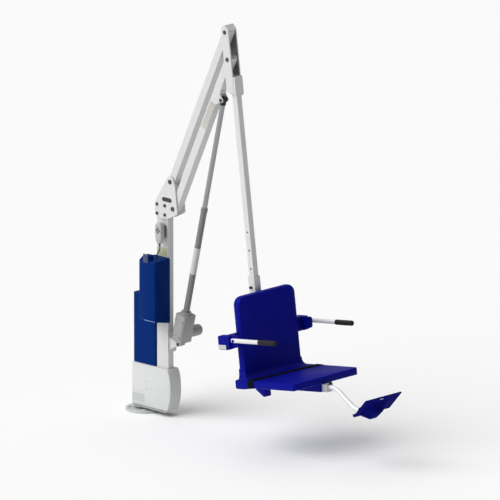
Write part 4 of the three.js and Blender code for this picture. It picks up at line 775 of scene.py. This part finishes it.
class Repeats:
    """Geometry Nodes trees for what repeats: fasteners in a grid, and rings in a row."""

    @staticmethod
    def _spread(tree: Tree, given: object, sink: object, points: Node, piece: Node) -> None:
        """Ends a tree: puts a piece on every point, makes it real and gives it its material.

        Args:
            tree: the tree.
            given: the sockets that bring its inputs.
            sink: the sockets that take its outputs.
            points: the node that makes the points.
            piece: the node that makes the piece.
        """
        spread = wire(tree, "GeometryNodeInstanceOnPoints", {"Points": points, "Instance": piece})
        real = wire(tree, "GeometryNodeRealizeInstances", {"Geometry": spread})
        paint = wire(tree, "GeometryNodeSetMaterial", {"Geometry": real, "Material": given["Material"]})
        tree.links.new(paint.outputs["Geometry"], sink["Geometry"])

    @staticmethod
    @cache
    def fastener_grid() -> Tree:
        """Hexagon heads on washers at the corners of a grid, heads along the grid's own Z.

        Returns:
            The tree.
        """
        tree, given, sink = new_tree("GeometryNodeTree", "fastener_grid", {
            "Columns": 2, "Rows": 2, "Width": 0.06, "Height": 0.05, "Head Radius": 0.01,
            "Head Height": 0.005, "Washer Radius": 0.013, "Washer Height": 0.0015,
            "Material": "Material"}, {"Geometry": "Geometry"})
        grid = wire(tree, "GeometryNodeMeshGrid", {
            "Size X": given["Width"], "Size Y": given["Height"], "Vertices X": given["Columns"],
            "Vertices Y": given["Rows"]})
        washer, head = (wire(tree, "GeometryNodeMeshCylinder", {
            "Vertices": sides, "Radius": given[f"{part} Radius"], "Depth": given[f"{part} Height"]})
            for part, sides in (("Washer", 32), ("Head", 6)))
        total = maths(tree, "ADD", given["Head Height"], given["Washer Height"])
        offset = wire(tree, "ShaderNodeCombineXYZ", {"Z": maths(tree, "MULTIPLY", total, 0.5)})
        raised = wire(tree, "GeometryNodeTransform", {"Geometry": head, "Translation": offset})
        fastener = wire(tree, "GeometryNodeJoinGeometry", {0: washer})
        tree.links.new(raised.outputs["Geometry"], fastener.inputs[0])
        Repeats._spread(tree, given, sink, grid, fastener)
        return tree

    @staticmethod
    @cache
    def ring_row() -> Tree:
        """Thin rings in a row along Z.

        Returns:
            The tree.
        """
        tree, given, sink = new_tree("GeometryNodeTree", "ridge_row", {
            "Count": 12, "Pitch": 0.004, "Radius": 0.015, "Thickness": 0.001, "Material": "Material"},
            {"Geometry": "Geometry"})
        step = wire(tree, "ShaderNodeCombineXYZ", {"Z": given["Pitch"]})
        line = wire(tree, "GeometryNodeMeshLine", {"Count": given["Count"], "Offset": step})
        course, section = (
            wire(tree, "GeometryNodeCurvePrimitiveCircle", {"Resolution": sides, "Radius": given[label]})
            for label, sides in (("Radius", 40), ("Thickness", 8)))
        ring = wire(tree, "GeometryNodeCurveToMesh", {"Curve": course, "Profile Curve": section})
        Repeats._spread(tree, given, sink, line, ring)
        return tree

    @staticmethod
    def build(name: str, tree: Tree, place: Matrix, finish: Finish, body: str,
              sizes: dict[str, object], replaces: Sequence[str] = ()) -> None:
        """Evaluates a tree and dresses its result as a plain piece at the origin.

        Args:
            name: the piece's name.
            tree: one of the trees above.
            place: where the tree's own frame lies.
            finish: the finish that the tree sets.
            body: its CAD body.
            sizes: the tree's named inputs.
            replaces: CAD nodes that it stands for.
        """
        host = Shop.new_object(f"{name}_source", bpy.data.meshes.new(f"{name}_source"))
        modifier = host.modifiers.new("repeat", "NODES")
        modifier.node_group = tree
        identifiers = {item.name: item.identifier for item in tree.interface.items_tree
                       if item.item_type == "SOCKET" and item.in_out == "INPUT"}
        for label, value in {**sizes, "Material": finish.material()}.items():
            modifier[identifiers[label]] = value
        graph = bpy.context.evaluated_depsgraph_get()
        mesh = bpy.data.meshes.new_from_object(host.evaluated_get(graph))
        host.modifiers.remove(modifier)
        bpy.data.objects.remove(host)
        bm = bmesh.new()
        bm.from_mesh(mesh)
        bm.transform(place)
        bmesh.ops.recalc_face_normals(bm, faces=bm.faces)
        bm.to_mesh(mesh)
        bm.free()
        mesh.name = name
        Shop.dress(Shop.new_object(name, mesh, SKIN_SMOOTH), finish, body, replaces)

    @staticmethod
    def bolts(name: str, place: Matrix, finish: Finish, body: str, spacing: Pair, head: Pair,
              washer: Pair, columns: int = 2, replaces: Sequence[str] = ()) -> None:
        """Makes and dresses two rows of fasteners.

        Args:
            name: the piece's name.
            place: the middle of the fasteners, Z along their heads.
            finish: their finish.
            body: their CAD body.
            spacing: distance of the columns and of the rows.
            head: radius and height of a head.
            washer: radius and height of a washer.
            columns: how many columns there are.
            replaces: CAD nodes that they stand for.
        """
        Repeats.build(name, Repeats.fastener_grid(), place, finish, body, {
            "Columns": columns, "Rows": 2, "Width": spacing[0], "Height": spacing[1],
            "Head Radius": head[0], "Head Height": head[1], "Washer Radius": washer[0],
            "Washer Height": washer[1]}, replaces)


def pivot_pin(node: str, place: Matrix, half_grip: float, radius: float, height: float) -> None:
    """Replaces a pivot pin along Y by one with domed, grooved heads.

    Args:
        node: the CAD node of the pin.
        place: the frame whose Y is the pin's axis.
        half_grip: distance from the middle to the face under a head.
        radius: the head's radius.
        height: the head's height.
    """
    rim = radius * 0.82
    under = -half_grip - 0.0004
    profile = [(0.0, -half_grip - height), (rim * 0.55, -half_grip - height),
               (rim * 0.62, -half_grip - height * 0.9), (rim, -half_grip - height * 0.86),
               (radius, -half_grip - height * 0.6), (radius, under), (radius * 0.5, under)]
    profile += [(r, -z) for r, z in reversed(profile)]
    Shop.revolve(f"{node}_turned", profile, turned(place, Facing.FAR), FASTENER, NODE_BODY[node], [node], 40)


@dataclass
class SlewingBase:
    """Deck flange, spindle, gears and the moulded cover over them.

    cover_face is Y of the cover's near face. The plain panel and the grey line painted on the cover as the
    shadow under a lip are lowest and highest X, then Z, and screws is X and Z of the middle of its two
    screws.
    """

    cover_face: float = -0.046
    panel: tuple[float, ...] = (-0.050, 0.047, 0.056, 0.103)
    line: tuple[float, ...] = (-0.050, 0.040, 0.116, 0.118)
    screws: Pair = (0.061, 0.1585)
    screw_spacing: float = 0.043

    def build(self) -> None:
        """Builds and dresses the base, with the trims on its cover."""
        # Grey coat lightened as painted light on the flange's top face.
        Shop.refine("deck_flange", FLANGE_PAINTED_LIGHT)
        Shop.refine("swing_plate", GREY_COAT)
        Shop.refine("base_cover", COVER_WHITE, 0.003, segments=3, angle=35.0)
        for node, finish in (("slew_spindle", STEEL), ("slew_gear", STEEL), ("slew_bearing", BRONZE),
                             ("slew_pinion", STEEL), ("slew_motor", BLACK)):
            Shop.keep(node, finish)
        y = self.cover_face
        # The second trim is a grey line painted as the shadow under a lip on the cover.
        for name, (left, right, low, high), rise, width in (
                ("cover_panel", self.panel, 0.0006, 0.0003), ("cover_painted_shadow_line", self.line, 0.0004, 0.0002)):
            Shop.trim(name, LABEL, "mast", (left, y - rise, low), (right, y + 0.001, high),
                      width=width, segments=1)
        place = turned(shift((self.screws[0], y - 0.0004, self.screws[1])), Facing.NEAR)
        Repeats.bolts("cover_screws", place, STEEL, "mast", (0.0, self.screw_spacing), (0.0032, 0.0012),
                      (0.0045, 0.0008), columns=1)


@dataclass
class MastColumn:
    """Mast tube, covers, knuckle plates and their fasteners.

    The tape between hand control and control box, the light strip painted as a highlight along the box's
    near bottom edge, and the catch on the box are lowest and highest corners. The bolts' washers lie
    plate_face from the middle. A pin is half grip, head radius and head height. slot is lowest and highest
    X, then Z, of the dark sheets painted as shade behind the knuckle plates' slots, slats the ends of a
    dark slat of that painted shade along X, and slat_heights Z of the lowest slat and their spacing.
    """

    tape_low: Triple = (0.1285, -0.0226, 0.936)
    tape_high: Triple = (0.2075, -0.021, 0.984)
    plate_face: float = 0.0356
    bolt_centre: Pair = (0.1686, 1.209)
    bolt_spacing: Pair = (0.0614, 0.054)
    arm_pin: Triple = (0.0345, 0.013, 0.006)
    bracket_pin: Triple = (0.0237, 0.011, 0.004)
    slot: tuple[float, ...] = (0.1730, 0.2566, 1.2565, 1.2883)
    slot_face: float = 0.0272
    slats: Pair = (0.1800, 0.2496)
    slat_heights: Pair = (1.2652, 0.0072)
    # Corners of the light strip painted as the highlight on the control box's near bottom edge.
    painted_highlight_line: tuple[Triple, Triple] = ((0.141, -0.1446, 0.5752), (0.2255, -0.1418, 0.5788))
    catch: tuple[Triple, Triple] = ((0.134, -0.1452, 0.914), (0.170, -0.1425, 0.965))

    def build(self) -> None:
        """Builds and dresses the mast and what is fixed to it."""
        Shop.refine("mast_tube", WHITE_COAT, 0.0008)
        Shop.refine("battery_cover", NAVY, 0.003, segments=3)
        Shop.refine("control_cover", NAVY, 0.003, segments=3)
        Shop.refine("control_chassis", BLACK, 0.0)
        Shop.keep("battery_pack", BLACK)
        for side, _, _ in SIDES:
            Shop.refine(f"knuckle_plate_{side}", WHITE_COAT)
        Shop.refine("actuator_bracket", WHITE_COAT, 0.0015)
        Shop.trim("mast_tape", TAPE, "mast", self.tape_low, self.tape_high, width=0.0002, segments=1)
        self._fasteners()
        # Painted shade behind the knuckle plates' slots.
        self._painted_slot_shade()
        # A light strip, painted as the highlight along the control box's near bottom edge.
        Shop.trim("control_painted_highlight_line", PAINTED_EDGE_HIGHLIGHT, "mast", *self.painted_highlight_line, width=0.0006)
        Shop.trim("control_catch", CATCH, "mast", *self.catch, width=0.0012)

    def _fasteners(self) -> None:
        """Bolt heads and washers on both plates, and capped pins at the pivots."""
        x, z = self.bolt_centre
        for name, side, facing in SIDES:
            Repeats.bolts(f"mast_bolts_{name}", turned(shift((x, side * self.plate_face, z)), facing),
                          FASTENER, "mast", self.bolt_spacing, (0.0082, 0.0042), (0.0098, 0.0014),
                          replaces=[f"mast_bolt_{i}" for i in range(1, 5)] if side < 0 else ())
        for node, (x, z) in (("upper_arm_pin", PLACES.upper), ("lower_arm_pin", PLACES.lower)):
            pivot_pin(node, shift((x, 0.0, z)), *self.arm_pin)
        pivot_pin("bracket_pin", shift(PLACES.actuator.to_translation()), *self.bracket_pin)

    def _painted_slot_shade(self) -> None:
        """Dark sheet and black slats behind each knuckle plate's slot, painted shade for the gap between the
        plates.
        """
        left, right, low, high = self.slot
        for name, side, _ in SIDES:
            inner, outer = sorted((side * (self.slot_face - 0.0006), side * self.slot_face))
            # A dark sheet painted as the shade inside the slot.
            Shop.trim(f"slot_painted_shade_{name}", PAINTED_SHADE_STEEL, "mast", (left, inner, low), (right, outer, high),
                      width=0.0001, segments=1)
            inner, outer = sorted((side * (self.slot_face - 0.0002), side * (self.slot_face + 0.0024)))
            for k in range(3):
                middle = self.slat_heights[0] + self.slat_heights[1] * k
                # Black slats, part of the same painted shade.
                Shop.trim(f"slot_shade_slat_{name}_{k}", BLACK, "mast", (self.slats[0], inner, middle - 0.0014),
                          (self.slats[1], outer, middle + 0.0014), width=0.0006, segments=2)


@dataclass
class HandControl:
    """The hand control in its holder, with its four keys and its lead.

    cap_rise is the height of a cap's underside over the key's middle, drops say how far down the lead its
    bends lie, and sleeve is radius and height of each point of the sleeve at its head.
    """

    lead_radius: float = 0.0032
    cap_radius: float = 0.0060
    cap_rise: float = 0.0026
    drops: tuple[float, ...] = (0.15, 0.4, 0.62, 0.2)
    sleeve: tuple[Pair, ...] = ((0.0, 0.0), (0.0058, 0.0), (0.0056, -0.006), (0.0040, -0.020), (0.0, -0.020))

    def build(self) -> None:
        """Builds and dresses the hand control."""
        Shop.refine("handset", HANDSET_GREY, 0.0025, segments=3)
        Shop.refine("handset_holder", HOLDER_GREY, 0.0015)
        for way in ("up", "down", "left", "right"):
            self._key(f"key_{way}")
        self._lead()

    def _key(self, node: str) -> None:
        """One key: a stem in its well under a wider domed cap.

        Args:
            node: the CAD node of the key.
        """
        low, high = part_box(node)
        stem, cap, face = (high.x - low.x) / 2, self.cap_radius, self.cap_rise
        profile = [(0.0, -0.0012), (stem, -0.0012), (stem, face), (cap, face), (cap, face + 0.0009),
                   (cap * 0.8, face + 0.0016), (cap * 0.4, face + 0.0020), (0.0, face + 0.0021)]
        Shop.revolve(f"{node}_cap", profile, turned(shift((low + high) / 2), Facing.NEAR), KEY_GREY,
                     NODE_BODY[node], [node], 32)

    def _lead(self) -> None:
        """The lead that hangs from the hand control into the control box, with a sleeve at its head."""
        low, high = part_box("handset_lead")
        x1, x0 = low.x + self.lead_radius, high.x - self.lead_radius
        y, drop = (low.y + high.y) / 2, high.z - low.z
        first, second, third, last = (share * drop for share in self.drops)
        marks = [(x0, high.z), (x0, high.z - first), (x0 + 0.0005, high.z - second),
                 ((x0 + x1) / 2, high.z - third), (x1 + 0.0005, low.z + last), (x1, low.z)]
        path = spline([Vector((x, y, z)) for x, z in marks], 8)
        Shop.dress(Shop.sweep("control_lead", path, self.lead_radius, 16), RUBBER, "mast", ["handset_lead"])
        Shop.revolve("lead_sleeve", self.sleeve, shift((x0, y, high.z)), RUBBER, "mast", sides=24)


@dataclass
class LiftingArms:
    """The two arms, the actuator's lugs and the blank plate on the lower arm.

    plate is lowest and highest corner in the lower arm's frame, and lug_pin half grip, head radius and
    head height.
    """

    plate: tuple[Triple, Triple] = ((0.566, -0.0258, -0.019), (0.742, -0.0244, 0.018))
    lug_pin: Triple = (0.025, 0.011, 0.004)

    def build(self) -> None:
        """Builds and dresses the arms."""
        Shop.refine("upper_arm", WHITE_COAT, 0.002, segments=3)
        Shop.refine("lower_arm", WHITE_COAT, 0.002, segments=3)
        Shop.refine("actuator_lugs", WHITE_COAT)
        pivot_pin("lug_pin", shift(PLACES.rod.to_translation()), *self.lug_pin)
        Shop.trim("arm_plate", ARM_PLATE, "lower_arm_body", *self.plate, PLACES.lower_arm, 0.0003, 1)


@dataclass
class Actuator:
    """Linear actuator: cast gearbox, motor, tube, screw and rod.

    cover is half the length along X, lowest and highest Z of the gearbox's cover plate, and housing_face
    the distance of the broad faces from the middle. neck is radius and foot of the moulded ring round the
    tube's foot. Spans and the blank band are start and end along the axis, and rod_radii the radius of
    the rod's bore and its own.
    """

    cover: Triple = (0.031, 0.046, 0.158)
    housing_face: float = 0.047
    cover_rise: float = 0.0014
    screw_height: float = 0.102
    neck: Pair = (0.0268, 0.184)
    motor_height: float = 0.063
    motor_span: Pair = (0.0474, 0.1432)
    motor_radius: float = 0.033
    motor_dome: float = 0.020
    tube_radius: float = 0.0182
    tube_start: float = 0.1705
    tube_end: float = 0.850
    collar: float = 0.026
    bore: float = 0.0150
    band: Pair = (0.437, 0.606)
    rod_span: Pair = (-0.70, -0.016)
    rod_radii: Pair = (0.0076, 0.0145)

    def build(self) -> None:
        """Builds and dresses the actuator."""
        place = PLACES.actuator
        Shop.refine("actuator_gearbox", CASTING, 0.004, segments=3, angle=25.0)
        self._gearbox_trims(place)
        self._motor(place)
        self._tube(place)
        Shop.keep("lead_screw", STEEL)
        (foot, head), (bore, radius) = self.rod_span, self.rod_radii
        Shop.revolve("actuator_bright_rod", [(bore, foot), (radius, foot), (radius, head), (0.0, head)],
                     PLACES.rod, ROD_COAT, "rod", ["actuator_rod"])
        Shop.refine("rod_head", BLACK, 0.0015, segments=3)

    def _gearbox_trims(self, place: Matrix) -> None:
        """The gearbox's near cover plate, its screws and the moulded ring round the tube's foot.

        Args:
            place: the actuator's own frame.
        """
        half, low, high = self.cover
        face = self.housing_face + self.cover_rise
        Shop.trim("gearbox_cover", CASTING, "actuator", (-half, -face, low),
                  (half, 0.0010 - self.housing_face, high), place, 0.0009)
        for name, side, facing in SIDES:
            spot = turned(place @ shift((0.0, side * face, self.screw_height)), facing)
            Repeats.bolts(f"gearbox_screws_{name}", spot, FASTENER, "actuator", (0.052, 0.098),
                          (0.0034, 0.0014), (0.0042, 0.0004))
        r, (rim, foot) = self.tube_radius, self.neck
        top = foot + 0.008
        ring = [(r + 0.0002, foot), (rim, foot), (rim, foot + 0.003), (rim - 0.0028, foot + 0.0065),
                (r + 0.0016, top), (r + 0.0002, top), (r + 0.0002, foot)]
        Shop.revolve("gearbox_neck_ring", ring, place, CASTING, "actuator")

    def _motor(self, place: Matrix) -> None:
        """The motor can with the seam of its end cap, along +Y.

        Args:
            place: the actuator's own frame.
        """
        (start, end), radius, seam = self.motor_span, self.motor_radius, self.motor_radius - 0.0012
        profile = [(0.0, start), (radius - 0.002, start), (radius, start + 0.002), (radius, start + 0.022),
                   (seam, start + 0.023), (seam, start + 0.025), (radius, start + 0.026),
                   (radius, end - self.motor_dome), *rounded_end(radius, end, self.motor_dome, 9.0, 9),
                   (0.006, end), (0.0, end)]
        Shop.revolve("actuator_motor_can", profile,
                     turned(place @ shift((0.0, 0.0, self.motor_height)), Facing.FAR), CASTING, "actuator",
                     ["actuator_motor"])

    def _tube(self, place: Matrix) -> None:
        """The outer tube with its collar, its blank band and the dark rings at the band's ends.

        Args:
            place: the actuator's own frame.
        """
        r, start, end, bore = self.tube_radius, self.tube_start, self.tube_end, self.bore
        foot = end - self.collar
        profile = [(bore, start), (r, start), (r, foot), (r + 0.0018, foot + 0.002),
                   (r + 0.0018, end - 0.003), (r + 0.0004, end - 0.0004), (bore + 0.0006, end),
                   (bore, end - 0.0006), (bore, start)]
        Shop.revolve("actuator_outer_tube", profile, place, TUBE_COAT, "actuator", ["actuator_tube"])
        low, high = self.band
        band = [(r - 0.001, low), (r + 0.0004, low), (r + 0.0004, high), (r - 0.001, high), (r - 0.001, low)]
        Shop.revolve("tube_band", band, place, BAND, "actuator")
        Repeats.build("tube_rings", Repeats.ring_row(), place @ shift((0.0, 0.0, low)), BLACK, "actuator", {
            "Count": 2, "Pitch": high - low, "Radius": r, "Thickness": 0.0014})


@dataclass
class Hanger:
    """Head bracket, pins and the post that the seat hangs on.

    The dark sheet painted as shade on the far plate's inner face is given by its lowest and highest corner,
    and pin by half grip, head radius and head height.
    """

    dark_shade_sheet: tuple[Triple, Triple] = ((-0.0265, 0.0266, -0.252), (0.0268, 0.0272, 0.006))
    pin: Triple = (0.0345, 0.012, 0.005)

    def build(self) -> None:
        """Builds and dresses the hanger."""
        place = PLACES.hanger
        Shop.refine("head_bracket", WHITE_COAT, 0.0015)
        Shop.refine("seat_post", WHITE_COAT, 0.0015, segments=3)
        # Dark sheet painted as the shade on the far plate's inner face.
        Shop.trim("head_dark_shade_sheet", PAINTED_SHADE_STEEL, "hanger", *self.dark_shade_sheet, place, 0.0001, 1)
        pivot_pin("upper_hanger_pin", place, *self.pin)
        pivot_pin("lower_hanger_pin", place @ shift((0.0, 0.0, -PLACES.spacing)), *self.pin)


@dataclass
class Seat:
    """Seat shell, its frame, crossbar, armrests and lap belt.

    Sizes are in the hanger's frame: drops run down from its pivot, and spans are start and end. patch is
    lowest and highest X, then Z, of the blank patch on the near armrest bracket. The belt reaches
    belt_half to both sides; its rear edge lies at belt_start on the near side and belt_skew further
    forward on the far one.
    """

    armrest_side: float = 0.3143
    armrest_drop: float = 1.712
    armrest_span: Pair = (0.110, 0.4483)
    armrest_radius: float = 0.0125
    grip_start: float = 0.3205
    grip_radius: float = 0.0152
    grip_round: float = 0.0075
    patch: tuple[float, ...] = (0.013, 0.072, -1.7635, -1.7375)
    belt_half: float = 0.2632
    belt_top: float = -1.9505
    belt_start: float = 0.149
    belt_width: float = 0.046
    belt_skew: float = 0.048
    belt_thickness: float = 0.0024
    receiver: Pair = (0.4968, 0.5368)
    receiver_drop: Pair = (1.9946, 2.0406)
    receiver_half: float = 0.0256
    receiver_axis: float = -2.0146
    receiver_bore: float = 0.0147

    def build(self) -> None:
        """Builds and dresses the seat and what is on it."""
        Shop.refine("seat_sleeve", WHITE_COAT)
        Shop.refine("seat_shell", SEAT_BLUE, 0.006, segments=4, angle=28.0, smooth=45.0)
        Shop.refine("seat_frame", BLUE_COAT, 0.002)
        Shop.refine("crossbar", BLUE_COAT, 0.0015)
        for name, side, _ in SIDES:
            Shop.refine(f"armrest_bracket_{name}", SEAT_BLUE, 0.002, segments=3)
            self._armrest(name, side)
        self._plunger()
        self._belt()
        self._receiver()
        left, right, low, high = self.patch
        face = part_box("armrest_bracket_near")[0].y
        Shop.trim("bracket_patch", LABEL, "carriage", (left, face - 0.0004, low),
                  (right, face + 0.0008, high), PLACES.hanger, 0.0002, 1)
        Shop.refine("footrest_clip", BLACK, 0.0015, segments=3)

    def _armrest(self, name: str, side: float) -> None:
        """One armrest: a steel tube, pale with painted reflection, with a black hand grip.

        Args:
            name: near or far.
            side: -1 for the near one, 1 for the far one.
        """
        middle = shift((0.0, side * self.armrest_side, -self.armrest_drop))
        place = turned(PLACES.hanger @ middle, Facing.FRONT)
        r, g, (start, end) = self.armrest_radius, self.grip_radius, self.armrest_span
        tube = [(0.0, start), (r - 0.002, start), (r, start + 0.002), (r, end), (0.0, end)]
        # The tube's pale colour is painted reflection.
        Shop.revolve(f"armrest_bar_{name}", tube, place, TUBE_PAINTED_REFLECTION, f"armrest_{name}",
                     [f"armrest_tube_{name}"])
        first, last = self.grip_start, end + 0.0042
        grip = [(r, first), (g - 0.002, first), (g, first + 0.0025), (g, last - self.grip_round),
                *rounded_end(g, last, self.grip_round, 11.25, 8), (0.0, last)]
        Shop.revolve(f"armrest_hand_grip_{name}", grip, place, RUBBER, f"armrest_{name}",
                     [f"armrest_grip_{name}"])

    def _plunger(self) -> None:
        """The sprung plunger's ribbed knob and its shank."""
        low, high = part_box("height_plunger")
        centre = (low + high) / 2
        far, near = -low.y, -high.y
        profile = [(0.0, near), (0.005, near), (0.005, far - 0.012), (0.0065, far - 0.012),
                   (0.0079, far - 0.010), (0.0079, far - 0.002), (0.0064, far), (0.0, far)]
        Shop.revolve("plunger_knob", profile, turned(shift((centre.x, 0.0, centre.z)), Facing.NEAR), BLACK,
                     "plunger", ["height_plunger"], 32)

    def _belt(self) -> None:
        """The lap belt: webbing laid over the seat with both ends down its sides, and its UV map in mm."""
        half, top, columns = self.belt_half, self.belt_top, 8
        path = [(-half - 0.0006, top - 0.042), (-half, top - 0.020), (-half + 0.001, top - 0.006),
                (-half + 0.008, top + 0.0015), (-half + 0.03, top + 0.002)]
        path += [(y, top + 0.002 + 0.0012 * math.sin(y * 21.0)) for y in (-0.19, -0.14, -0.09, -0.04)]
        path += [(-y, z) for y, z in reversed(path)]
        stations = spline([Vector((0.0, y, z)) for y, z in path], 4)
        bm = bmesh.new()
        uv = bm.loops.layers.uv.new("UVMap")
        rows = []
        along = 0.0
        for before, point in zip([stations[0], *stations], stations):
            along += (point - before).length
            near_edge = self.belt_start + self.belt_skew * min(1.0, max(0.0, (point.y + half) / (2.0 * half)))
            across = [self.belt_width * k / columns for k in range(columns + 1)]
            rows.append([(bm.verts.new((near_edge + t, point.y, point.z)), along, t) for t in across])
        for a, b in zip(rows, rows[1:]):
            for k in range(columns):
                ring = [a[k], a[k + 1], b[k + 1], b[k]]
                for loop, (_, s, t) in zip(bm.faces.new([corner[0] for corner in ring]).loops, ring):
                    loop[uv].uv = (s * 1000.0, t * 1000.0)
        belt = Shop.from_bmesh("lap_belt_webbing", bm, PLACES.hanger, 60.0)
        solidify = belt.modifiers.new("thickness", "SOLIDIFY")
        solidify.thickness = self.belt_thickness
        solidify.offset = 0.0
        Shop.dress(belt, WEBBING, "carriage", ["lap_belt"])

    def _receiver(self) -> None:
        """The bare metal sleeve on the frame's front end, with the bore that the footrest slides in."""
        start, end = self.receiver
        high, low = -self.receiver_drop[0], -self.receiver_drop[1]
        middle, tall, wide = (high + low) / 2, (high - low) / 2 + 0.0006, self.receiver_half
        corner = math.hypot(wide, tall) - 0.0016
        points = circle(32, 0.5)
        loops = []
        for u, inset in ((start, 0.0), (end + 0.0002, 0.0), (end + 0.0008, 0.0006)):
            reach = [min(wide / abs(c), tall / abs(s), corner) - inset for c, s in points]
            loops.append([(u, r * c, middle + r * s) for r, (c, s) in zip(reach, points)])
        for u in (end + 0.0008, end - 0.030):
            loops.append([(u, self.receiver_bore * c, self.receiver_axis + self.receiver_bore * s)
                          for c, s in points])
        bm = bmesh.new()
        bridge(bm, [[bm.verts.new(point) for point in loop] for loop in loops])
        Shop.dress(Shop.from_bmesh("receiver_sleeve", bm, PLACES.hanger, 30.0), RECEIVER, "carriage")


@dataclass
class Footrest:
    """Footrest tube and plate.

    heel is X and Z of the plate's heel in the hanger's frame, and rise its angle. The hull under the
    board narrows along X by hull_squeeze over its depth and loses hull_fade of it towards its sides, both
    as shares; hull_cuts are the distances from the middle where its slope is drawn.
    """

    heel: Pair = (0.8420, -2.1416)
    rise: float = 41.0
    board: float = 0.006
    hub: float = 0.0212
    hub_end: float = 0.8755
    hull_depth: float = 0.039
    hull_squeeze: float = 0.72
    hull_reach: float = 0.086
    hull_fade: float = 0.94
    hull_cuts: tuple[float, ...] = (0.024, 0.034, 0.046, 0.060, 0.073)

    def build(self) -> None:
        """Builds and dresses the footrest."""
        # The tube's pale colour is painted reflection.
        Shop.refine("footrest_tube", TUBE_PAINTED_REFLECTION, 0.0)
        self._plate()

    def _plate(self) -> None:
        """The plate with its hub, and the belly under it as a keel that fades to both sides."""
        bm = Shop.clean_copy("footrest_plate")
        bm.transform(PLACES.hanger.inverted())
        for cut in self.hull_cuts:
            for side in (-1.0, 1.0):
                bmesh.ops.bisect_plane(bm, geom=[*bm.verts, *bm.edges, *bm.faces], dist=1e-6,
                                       plane_co=(0.0, side * cut, 0.0), plane_no=(0.0, 1.0, 0.0))
        level = shift((self.heel[0], 0.0, self.heel[1])) @ Matrix.Rotation(math.radians(-self.rise), 4, "Y")
        back = level.inverted()
        for vert in bm.verts:
            drop = self.heel[1] - vert.co.z
            in_hub = abs(vert.co.y) < self.hub and drop < self.hub and vert.co.x < self.hub_end
            if (back @ vert.co).z > -self.board - 0.0005 or in_hub:
                continue
            squeeze = 1.0 - self.hull_squeeze * min(1.0, max(0.0, drop / self.hull_depth))
            vert.co.x = self.heel[0] + (vert.co.x - self.heel[0]) * squeeze
            local = back @ vert.co
            side = min(1.0, max(0.0, (abs(vert.co.y) - self.hub) / (self.hull_reach - self.hub)))
            fade = 1.0 - self.hull_fade * side ** 0.9
            local.x = min(local.x, 0.0) * fade + max(local.x, 0.0)
            local.z = -self.board + (local.z + self.board) * fade
            vert.co = level @ local
        Shop.flatten(bm)
        plate = Shop.from_bmesh("footrest_board", bm, PLACES.hanger, SKIN_SMOOTH)
        Shop.bevel(plate, 0.0015, 2, 30.0)
        # The plate takes the seat blue darkened as painted shade.
        Shop.dress(plate, PAINTED_SHADE_FOOTREST, "footrest", ["footrest_plate"])


@dataclass
class Studio:
    """Floor, light and the camera at the photograph's angle.

    target is what the middle of the picture shows, azimuth runs from -Y towards +X, and lens is in mm on
    a 36 mm sensor. A sun is a name, the direction that it comes from, its irradiance in watts a square
    metre and its angular diameter: a wide one softens the shadows.
    """

    target: Triple = (0.838, 0.0, 1.085)
    azimuth: float = 44.0
    elevation: float = 14.5
    distance: float = 100.0
    lens: float = 1274.0
    floor_half: float = 90.0
    surround: float = 0.17
    suns: tuple[tuple[str, Triple, float, float], ...] = (
        ("key_light", (-0.30, -0.72, 0.72), 2.60, 60.0), ("top_light", (-0.45, 0.15, 1.0), 1.10, 90.0))

    def build(self) -> None:
        """Sets up floor, world, lights and camera."""
        self._floor()
        scene = bpy.context.scene
        world = bpy.data.worlds.new("studio_world")
        world.use_nodes = True
        feed(world.node_tree, world.node_tree.nodes["Background"], {
            "Color": (1.0, 1.0, 1.0, 1.0), "Strength": self.surround})
        scene.world = world
        for name, source, strength, spread in self.suns:
            data = bpy.data.lights.new(name, "SUN")
            data.energy = strength
            data.angle = math.radians(spread)
            light = bpy.data.objects.new(name, data)
            light.location = Vector(source) * 6.0
            light.rotation_euler = (-Vector(source)).to_track_quat("-Z", "Y").to_euler()
            scene.collection.objects.link(light)
        self._camera()
        scene.view_settings.view_transform = "Standard"
        scene.view_settings.look = "None"

    def _floor(self) -> None:
        """A wide pale floor."""
        bm = bmesh.new()
        bmesh.ops.create_grid(bm, x_segments=1, y_segments=1, size=self.floor_half)
        floor = Shop.from_bmesh("studio_floor", bm, shift((0.0, 0.0, -0.0002)))
        if floor.data.polygons[0].normal.z < 0:
            floor.data.flip_normals()
        floor.data.materials.append(STUDIO_FLOOR.material())

    def _camera(self) -> None:
        """The camera, far off and without roll, so that upright lines stay upright."""
        a, e = math.radians(self.azimuth), math.radians(self.elevation)
        back = Vector((math.sin(a) * math.cos(e), -math.cos(a) * math.cos(e), math.sin(e)))
        data = bpy.data.cameras.new("portrait_camera")
        data.lens = self.lens
        data.sensor_width = 36.0
        data.clip_end = 400.0
        camera = bpy.data.objects.new("portrait_camera", data)
        camera.location = Vector(self.target) + back * self.distance
        camera.rotation_mode = "QUATERNION"
        camera.rotation_quaternion = (-back).to_track_quat("-Z", "Y")
        bpy.context.scene.collection.objects.link(camera)
        bpy.context.scene.camera = camera


def main() -> None:
    """Builds the studio and every sub-assembly in order."""
    logging.basicConfig(level=logging.INFO, format="%(name)s: %(message)s")
    for part in (Studio(), SlewingBase(), MastColumn(), HandControl(), LiftingArms(), Actuator(), Hanger(),
                 Seat(), Footrest()):
        LOG.info("building %s", type(part).__name__)
        part.build()


if __name__ == "__main__":
    main()
